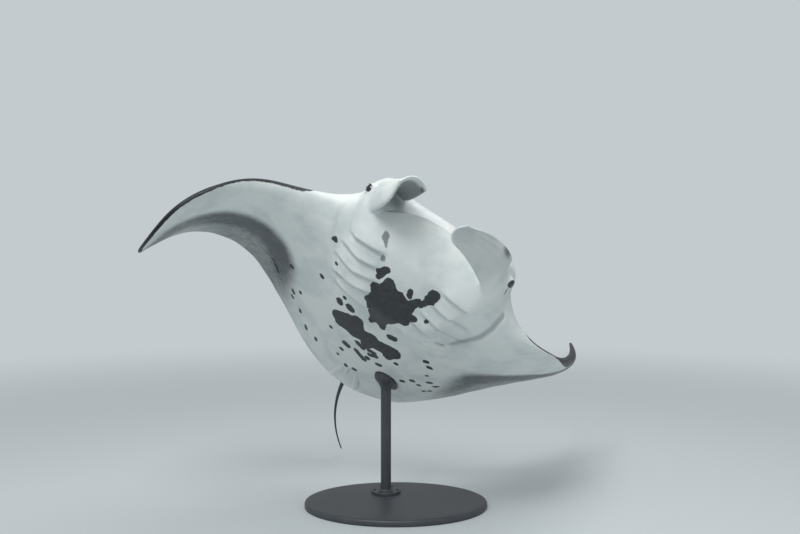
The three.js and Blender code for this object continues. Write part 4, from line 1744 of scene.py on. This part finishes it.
@dataclass(frozen=True)
class PressedFelt:
    """Pressed wool felt, charcoal: matt, with short fibres that catch a little light at the edge."""

    colour: str = "26282A"
    fibre: str = "3A3D40"

    def build(self) -> bpy.types.Material:
        """Mottles the felt and raises its fibres.

        Returns:
            The material.
        """
        material, tree, shader = new_material("felt_pressed", {"Roughness": 0.95, "Sheen Weight": 0.3})
        place = add_node(tree, "ShaderNodeTexCoord").outputs["Object"]
        fibre = add_node(
            tree, "ShaderNodeTexNoise", inputs={"Vector": place, "Scale": 1 / (1.2 * MM), "Detail": 4.0}
        ).outputs["Fac"]
        tint = add_node(
            tree,
            "ShaderNodeMix",
            {"data_type": "RGBA"},
            {0: fibre, 6: linear(self.colour), 7: linear(self.fibre)},
        )
        tree.links.new(tint.outputs[2], shader.inputs["Base Color"])
        bump = add_node(
            tree, "ShaderNodeBump", inputs={"Strength": 0.4, "Distance": 0.4 * MM, "Height": fibre}
        )
        tree.links.new(bump.outputs["Normal"], shader.inputs["Normal"])
        return material


@dataclass(frozen=True)
class PlatedScrew:
    """Socket screws in black-zinc plated steel: dark metal, turned and lightly polished."""

    colour: str = "6A6E73"

    def build(self) -> bpy.types.Material:
        """Gives the plating an uneven polish.

        Returns:
            The material.
        """
        plating = {"Base Color": linear(self.colour), "Metallic": 1.0}
        material, tree, shader = new_material("steel_black_zinc", plating)
        place = add_node(tree, "ShaderNodeTexCoord").outputs["Object"]
        turned = add_node(
            tree, "ShaderNodeTexNoise", inputs={"Vector": place, "Scale": 1 / (1 * MM)}
        ).outputs["Fac"]
        sheen = add_node(tree, "ShaderNodeMapRange", inputs={"Value": turned, "To Min": 0.24, "To Max": 0.4})
        tree.links.new(sheen.outputs["Result"], shader.inputs["Roughness"])
        return material


# ---------- the display stand


SHARP = 35.0  # degrees between two faces from which an edge of the stand is rounded


def ring_of_corners(radius: float, height: float, around: tuple[float, float], sides: int) -> Array:
    """Corners of a level circle around an upright axis.

    Args:
        radius: The circle's radius.
        height: Its height.
        around: The axis's x and y.
        sides: Number of corners.

    Returns:
        A row of x, y and z for each corner.
    """
    turn = 2 * np.pi * np.arange(sides) / sides
    x, y = around[0] + radius * np.cos(turn), around[1] + radius * np.sin(turn)
    return np.column_stack([x, y, np.full(sides, height)])


def turned_shell(profile: Sequence[tuple[float, float]], around: tuple[float, float], base: float) -> Shell:
    """Closed round piece turned from a profile.

    Args:
        profile: Radius and height of each corner from bottom to top, in metres. It starts and ends on
            the axis, or runs round a hole and closes on itself.
        around: The axis's x and y.
        base: Height of the profile's zero.

    Returns:
        The piece.
    """
    sides = 72
    open_profile = profile[0][0] == 0
    rings = profile[1:-1] if open_profile else profile
    circles = [ring_of_corners(r, h + base, around, sides) for r, h in rings]
    if open_profile:
        return tube(circles)
    last = (len(rings) - 1) * sides
    faces = grid_faces(len(rings), sides, loop=True)
    faces += [(last + j, last + (j + 1) % sides, (j + 1) % sides, j) for j in range(sides)]
    return Shell(np.concatenate(circles), faces).outward()


def softened(made: bpy.types.Object, width: float, segments: int = 3) -> bpy.types.Object:
    """Rounds an object's sharp edges and keeps its flats flat.

    Args:
        made: The object, without modifiers.
        width: Width of a rounded edge, in metres.
        segments: Faces across it.

    Returns:
        The same object, with a new mesh.
    """
    step = made.modifiers.new("soften", "BEVEL")
    step.width = width
    step.segments = segments
    step.limit_method = "ANGLE"
    step.angle_limit = math.radians(SHARP)
    step.harden_normals = True
    return applied(made)


@dataclass
class DisplayStand:
    """Oval plate, screwed-on collar, post, and a saddle lined with felt that meets the belly."""

    metal: bpy.types.Material
    felt: bpy.types.Material
    plated: bpy.types.Material
    screws: int = 6
    post_radius: float = 0.028
    saddle_radius: float = 0.062
    felt_thickness: float = 0.005
    slack: float = 0.0003  # between the post and the collar round it
    seat_gap: float = 0.0006  # between the felt and the belly
    felt_under: float = 0.0008  # how far the felt is let into the saddle
    saddle_under: float = 0.0012  # how far the saddle lies below the felt's thickness
    screw_inset: float = 0.017  # from the collar's rim to the screws' ring
    screw_height: float = 0.0168  # from the collar's underside to the middle of the screws' heads

    def post_axis(self) -> tuple[float, float]:
        """The post's x and y."""
        low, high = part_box("stand_rod")
        return (low.x + high.x) / 2, (low.y + high.y) / 2

    def plate(self) -> bpy.types.Object:
        """Oval plate with a rounded rim and a shallow step round its edge.

        Returns:
            The plate.
        """
        low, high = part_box("stand_base")
        middle, half = (low + high) / 2, (high - low) / 2
        sides = 160
        turn = 2 * np.pi * np.arange(sides) / sides
        rings = []
        # Inset from the rim and height above the floor: underside, edge, chamfer, step and top.
        edge = (
            (0.012, 0), (0.003, 0), (0, 0.003), (0, 0.022),
            (0.004, 0.0285), (0.010, 0.0315), (0.016, 0.032), (0.060, 0.032),
        )
        for inset, height in edge:
            rings.append(np.column_stack([
                middle.x + (half.x - inset) * np.cos(turn),
                middle.y + (half.y - inset) * np.sin(turn),
                np.full(sides, low.z + height),
            ]))
        made = mesh_object("stand_plate", tube(rings), self.metal)
        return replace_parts(made, "stand_base")

    def collar(self) -> bpy.types.Object:
        """Flanged collar around the foot of the post.

        Returns:
            The collar.
        """
        low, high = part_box("stand_foot")
        wide, tall = (high.x - low.x) / 2, high.z - low.z
        post = self.post_radius
        inner = post + self.slack
        # A flat flange with an eased rim, a cove, and a straight neck.
        profile = [
            (inner, 0), (wide, 0), (wide, 0.011), (wide - 0.003, 0.014), (post + 0.017, 0.0155),
            (post + 0.0125, 0.0175), (post + 0.011, tall - 0.002), (post + 0.009, tall), (inner, tall),
        ]
        made = mesh_object("stand_collar", turned_shell(profile, self.post_axis(), low.z), self.metal)
        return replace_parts(softened(made, 0.0008), "stand_foot")

    def post(self) -> bpy.types.Object:
        """Round post with eased ends.

        Returns:
            The post.
        """
        low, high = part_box("stand_rod")
        tall, wide, eased = high.z - low.z, self.post_radius, 1 * MM
        profile = [
            (0, 0), (wide - eased, 0), (wide, eased),
            (wide, tall - eased), (wide - eased, tall), (0, tall),
        ]
        made = mesh_object("stand_post", turned_shell(profile, self.post_axis(), low.z), self.metal)
        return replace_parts(softened(made, 0.0005, 2), "stand_rod")

    def saddle(self, skin: bpy.types.Object) -> list[bpy.types.Object]:
        """Flared saddle whose top follows the belly, and the felt between them.

        Args:
            skin: The finished skin that it meets.

        Returns:
            The saddle and its felt.
        """
        low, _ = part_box("stand_cradle")
        axis = self.post_axis()
        # Rings of corners over the seat, as shares of its radius, and how far the first two drop to
        # round the rim off.
        shares = (1.0, 0.985, 0.95, 0.85, 0.7, 0.55, 0.4, 0.25, 0.12)
        rim_drop = (0.003, 0.0008)
        sides = 96
        rings = [ring_of_corners(s * self.saddle_radius, low.z, axis, sides) for s in shares]
        spots = np.concatenate([*rings, [(*axis, low.z)]])
        belly = skin.evaluated_get(bpy.context.evaluated_depsgraph_get())
        over = []
        for spot_below in spots.tolist():
            hit, where, *_ = belly.ray_cast(Vector(spot_below), Vector((0, 0, 1)))
            over.append(where.z if hit else math.nan)
        drop = np.zeros(len(spots))
        drop[: 2 * sides] = np.repeat(rim_drop, sides)
        flat, top = spots[:, :2], np.array(over) - drop
        post, wide = self.post_radius, self.saddle_radius
        # Radius and height of the flare, from the post up to the rim.
        flare = (
            (post, 0.0), (post + 0.001, 0.003), (post + 0.004, 0.016), (post + 0.011, 0.030),
            (wide - 0.010, 0.047), (wide - 0.002, 0.058), (wide, 0.068),
        )
        lower = np.concatenate([ring_of_corners(r, low.z + h, axis, sides) for r, h in flare])
        seat = np.column_stack([flat, top - self.felt_thickness - self.saddle_under])
        made = [self.filled("stand_saddle", lower, seat, sides, self.metal)]
        under = np.column_stack([flat, top - self.felt_thickness - self.felt_under])[:sides]
        pad = np.column_stack([flat, top - self.seat_gap])
        made.append(self.filled("stand_saddle_felt", under, pad, sides, self.felt))
        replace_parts(made[0], "stand_cradle")
        return made

    def filled(
        self, name: str, lower: Array, upper: Array, sides: int, material: bpy.types.Material
    ) -> bpy.types.Object:
        """Closed piece from rings of corners: a capped wall below and a seat that ends in one corner.

        Args:
            name: The piece's name.
            lower: Rings of corners of the wall, from the bottom up.
            upper: Rings of corners of the seat, from its rim inwards, and its middle corner.
            sides: Corners in each ring.
            material: Its finish.

        Returns:
            The piece.
        """
        points = np.concatenate([lower, upper])
        rings = len(points) // sides
        faces = grid_faces(rings, sides, loop=True)
        last, peak = (rings - 1) * sides, len(points) - 1
        faces.append(tuple(range(sides)))
        faces += [(last + j, peak, last + (j + 1) % sides) for j in range(sides)]
        return mesh_object(name, Shell(points, faces).outward(), material)

    def screw_tree(self) -> bpy.types.NodeTree:
        """Geometry nodes that set socket screws in a ring.

        Returns:
            The tree, with named inputs for its sizes and its finish.
        """
        tree = bpy.data.node_groups.new("ring_of_screws", "GeometryNodeTree")
        face = tree.interface
        taken = {
            "Geometry": "Geometry", "Count": "Int", "Ring Radius": "Float", "Head Radius": "Float",
            "Head Height": "Float", "Socket Radius": "Float", "Finish": "Material",
        }
        for name, kind in taken.items():
            face.new_socket(name, in_out="INPUT", socket_type=f"NodeSocket{kind}")
        face.new_socket("Geometry", in_out="OUTPUT", socket_type="NodeSocketGeometry")
        given = add_node(tree, "NodeGroupInput").outputs
        ring = add_node(
            tree,
            "GeometryNodeMeshCircle",
            inputs={"Vertices": given["Count"], "Radius": given["Ring Radius"]},
        )
        head = add_node(
            tree,
            "GeometryNodeMeshCylinder",
            inputs={"Vertices": 40, "Radius": given["Head Radius"], "Depth": given["Head Height"]},
        )
        hollow = add_node(
            tree,
            "GeometryNodeMeshCylinder",
            inputs={"Vertices": 6, "Radius": given["Socket Radius"], "Depth": given["Head Height"]},
        )
        half = add_node(tree, "ShaderNodeMath", {"operation": "MULTIPLY"}, {0: given["Head Height"], 1: 0.5})
        lift = add_node(tree, "ShaderNodeCombineXYZ", inputs={"Z": half.outputs[0]})
        sunk = add_node(
            tree,
            "GeometryNodeTransform",
            inputs={"Geometry": hollow.outputs["Mesh"], "Translation": lift.outputs["Vector"]},
        )
        cut = add_node(
            tree,
            "GeometryNodeMeshBoolean",
            {"operation": "DIFFERENCE", "solver": "EXACT"},
            {"Mesh 1": head.outputs["Mesh"], "Mesh 2": sunk.outputs["Geometry"]},
        )
        spread = add_node(
            tree,
            "GeometryNodeInstanceOnPoints",
            inputs={"Points": ring.outputs["Mesh"], "Instance": cut.outputs["Mesh"]},
        )
        real = add_node(
            tree, "GeometryNodeRealizeInstances", inputs={"Geometry": spread.outputs["Instances"]}
        )
        done = add_node(
            tree,
            "GeometryNodeSetMaterial",
            inputs={"Geometry": real.outputs["Geometry"], "Material": given["Finish"]},
        )
        add_node(tree, "NodeGroupOutput", inputs={"Geometry": done.outputs["Geometry"]})
        return tree

    def ring_of_screws(self) -> bpy.types.Object:
        """Socket screws that hold the collar to the plate.

        Returns:
            The screws as one mesh.
        """
        low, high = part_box("stand_foot")
        made = mesh_object("stand_screws", Shell(np.zeros((1, 3)), []))
        step = made.modifiers.new("screws", "NODES")
        tree = self.screw_tree()
        step.node_group = tree
        sizes = {
            "Count": self.screws,
            "Ring Radius": (high.x - low.x) / 2 - self.screw_inset,
            "Head Radius": 0.0068,
            "Head Height": 0.005,
            "Socket Radius": 0.0034,
            "Finish": self.plated,
        }
        for item in tree.interface.items_tree:
            if item.in_out == "INPUT" and item.name in sizes:
                step[item.identifier] = sizes[item.name]
        bpy.context.view_layer.update()
        place = Matrix.Translation((*self.post_axis(), low.z + self.screw_height))
        applied(made).data.transform(place)
        return softened(made, 0.0006, 2)

    def build(self, skin: bpy.types.Object) -> list[bpy.types.Object]:
        """Every piece of the stand."""
        return [self.plate(), self.collar(), self.post(), self.ring_of_screws(), *self.saddle(skin)]


# ---------- the studio


@dataclass
class Studio:
    """Pale floor that fades into the air, soft lamps, and the camera."""

    snout: Vector
    floor: str = "CDD4D7"
    air: str = "C3CBCF"
    sky: str = "F2F6F8"
    sky_strength: float = 0.46
    lamps_face: tuple[float, float, float] = (0.0, -0.4, 1.1)
    floor_radius: float = 60.0
    floor_sides: int = 96
    camera_from_snout: tuple[float, float, float] = (-0.2338, -3.6197, -0.2212)

    def backdrop(self) -> None:
        """Wide floor that fades into the air far behind the animal, from every side."""
        paper = {"Base Color": linear(self.floor), "Roughness": 0.9}
        material, tree, shader = new_material("studio_paper_pale", paper)
        place = add_node(tree, "ShaderNodeTexCoord").outputs["Object"]
        tooth = add_node(
            tree, "ShaderNodeTexNoise", inputs={"Vector": place, "Scale": 1 / (3 * MM)}
        ).outputs["Fac"]
        bump = add_node(
            tree, "ShaderNodeBump", inputs={"Strength": 0.05, "Distance": 0.2 * MM, "Height": tooth}
        )
        tree.links.new(bump.outputs["Normal"], shader.inputs["Normal"])
        away = add_node(tree, "ShaderNodeVectorMath", {"operation": "LENGTH"}, {0: place}).outputs["Value"]
        far = add_node(
            tree,
            "ShaderNodeMapRange",
            {"interpolation_type": "SMOOTHSTEP"},
            {"Value": away, "From Min": 1.5, "From Max": 9.0},
        )
        seen = add_node(tree, "ShaderNodeLightPath").outputs["Is Camera Ray"]
        share = add_node(
            tree, "ShaderNodeMath", {"operation": "MULTIPLY"}, {0: far.outputs["Result"], 1: seen}
        )
        air = add_node(tree, "ShaderNodeEmission", inputs={"Color": linear(self.air)})
        both = add_node(
            tree,
            "ShaderNodeMixShader",
            inputs={0: share.outputs[0], 1: shader.outputs["BSDF"], 2: air.outputs["Emission"]},
        )
        out = next(node for node in tree.nodes if node.type == "OUTPUT_MATERIAL")
        tree.links.new(both.outputs["Shader"], out.inputs["Surface"])
        rim = ring_of_corners(self.floor_radius, 0.0, (0.0, 0.0), self.floor_sides)
        made = mesh_object("studio_floor", Shell(rim, [tuple(range(self.floor_sides))]), material)

    def lamp(self, name: str, place: tuple[float, float, float], size: float, power: float) -> None:
        """Soft square lamp that faces the animal.

        Args:
            name: The lamp's name.
            place: Where it hangs, in metres.
            size: Length of its sides, in metres.
            power: Its power, in watts.
        """
        data = bpy.data.lights.new(name, "AREA")
        data.shape = "SQUARE"
        data.size = size
        data.energy = power
        made = bpy.data.objects.new(name, data)
        bpy.context.scene.collection.objects.link(made)
        made.location = place
        away = Vector(self.lamps_face) - Vector(place)
        made.rotation_euler = away.to_track_quat("-Z", "Y").to_euler()

    def build(self) -> None:
        """Sets up floor, lamps, world, camera and view."""
        self.backdrop()
        self.lamp("lamp_key", (-1.2, -4.2, 5.6), size=2.6, power=205.0)
        self.lamp("lamp_top", (1.4, 0.8, 5.4), size=3.6, power=78.0)
        world = bpy.data.worlds.new("studio_air")
        world.use_nodes = True
        tree = world.node_tree
        soft = tree.nodes["Background"]
        soft.inputs["Color"].default_value = linear(self.sky)
        soft.inputs["Strength"].default_value = self.sky_strength
        seen = add_node(tree, "ShaderNodeBackground", inputs={"Color": linear(self.air), "Strength": 1.0})
        ray = add_node(tree, "ShaderNodeLightPath").outputs["Is Camera Ray"]
        both = add_node(
            tree,
            "ShaderNodeMixShader",
            inputs={0: ray, 1: soft.outputs["Background"], 2: seen.outputs["Background"]},
        )
        out = next(node for node in tree.nodes if node.type == "OUTPUT_WORLD")
        tree.links.new(both.outputs["Shader"], out.inputs["Surface"])
        bpy.context.scene.world = world
        bpy.context.scene.view_settings.view_transform = "Standard"
        data = bpy.data.cameras.new("camera")
        data.lens = 36.0
        data.sensor_width = 36.0
        data.clip_end = 100.0
        camera = bpy.data.objects.new("camera", data)
        camera.location = self.snout + Vector(self.camera_from_snout)
        camera.rotation_euler = Euler((math.pi / 2, 0, 0))
        bpy.context.scene.collection.objects.link(camera)
        bpy.context.scene.camera = camera


# ---------- the model


FLESH = (
    "head", "trunk", "wing_left_inner", "wing_left_middle", "wing_left_tip", "wing_right_inner",
    "wing_right_middle", "wing_right_tip", "cephalic_fin_left", "cephalic_fin_right", "dorsal_fin",
    "pelvic_fin_left", "pelvic_fin_right", "tail_1", "tail_2", "tail_3", "tail_4",
)


def manta_parts() -> list[Any]:
    """The fins and tail that are joined to the disc.

    Returns:
        The parts, each of which makes its own shell.
    """
    # The right fin is rolled into a scoop that opens downwards and ahead.
    right = (
        ((0.090, -0.041, -0.032), (0.104, -0.034, -0.010), (0.110, -0.012, 0.037), (0.066, -0.026, 0.002)),
        ((0.068, 0.021, -0.066), (0.095, 0.010, -0.032), (0.080, 0.010, 0.008), (0.054, -0.010, -0.003)),
        ((0.076, 0.052, -0.058), (0.074, 0.049, -0.050), (0.068, 0.055, -0.022), (0.044, 0.038, -0.026)),
    )
    # The left fin is unrolled into a paddle that hangs ahead of the mouth.
    left = (
        ((0.088, -0.045, -0.034), (0.090, -0.026, -0.030), (0.090, -0.014, -0.004), (0.094, -0.018, 0.022)),
        ((0.053, 0.004, -0.054), (0.062, 0.013, -0.038), (0.066, 0.020, -0.018), (0.064, 0.022, 0.004)),
        ((0.020, 0.034, -0.077), (0.006, 0.042, -0.080), (0.008, 0.050, -0.066), (0.022, 0.048, -0.054)),
    )
    return [
        CephalicFin(Side.RIGHT, right, root_shade=0.55),
        CephalicFin(Side.LEFT, left),
        Tail(),
        DorsalFin(),
        PelvicFin(Side.RIGHT),
        PelvicFin(Side.LEFT),
    ]


def put_on(piece: bpy.types.Object) -> None:
    """Makes a piece part of the model, under its root.

    Args:
        piece: A finished piece.
    """
    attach(piece, "root")
    LOG.info("%s: %d faces", piece.name, len(piece.data.polygons))


def main() -> None:
    """Builds the animal, its eyes, the stand and the studio."""
    logging.basicConfig(level=logging.INFO, format="%(name)s %(message)s")
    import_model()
    eyes = [Eye(Side.RIGHT, streak=0.006), Eye(Side.LEFT, streak=0.019)]
    posture = Posture.from_eyes(eyes[0].centre)
    Studio(Vector(posture.snout)).build()
    right = Wing(Side.RIGHT, (0, -3, -53, -87, -98), lag=2.0, twist=-0.74, tip_twist=-0.05, sweep=0.06)
    left = Wing(Side.LEFT, (0, 39, 49, 77, 152), lag=-4.31, twist=-1.53, tip_twist=0.22, sweep=-0.33)
    wings = {wing.side: wing for wing in (right, left)}
    manta = MantaSkin(Disc(), wings, Relief(), Markings(), manta_parts(), eyes)
    skin = manta.build(posture, MantaHide().build())
    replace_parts(skin, *FLESH)
    put_on(skin)
    glass = GlassEye().build()
    for eye in eyes:
        ball = eye.ball(eye.radius, 72, 47)
        out = (ball.points - eye.middle()) @ eye.axes().T / eye.radius
        # The pupil lies along the head: the pattern is read wider that way than up and down, and the
        # back of the eye is all rim.
        from_pupil = np.hypot(out[:, 0] * 0.8, out[:, 1] * 1.25) / 0.75
        ball.values = {"from_pupil": from_pupil + (out[:, 2] < 0)}
        ball.points = posture.settle(ball.points)
        word = eye.side.name.lower()
        made = mesh_object(f"glass_eye_{word}", ball, glass)
        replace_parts(made, f"eye_{word}")
        put_on(made)
    stand = DisplayStand(PowderCoat().build(), PressedFelt().build(), PlatedScrew().build())
    for piece in stand.build(skin):
        put_on(piece)


if __name__ == "__main__":
    main()
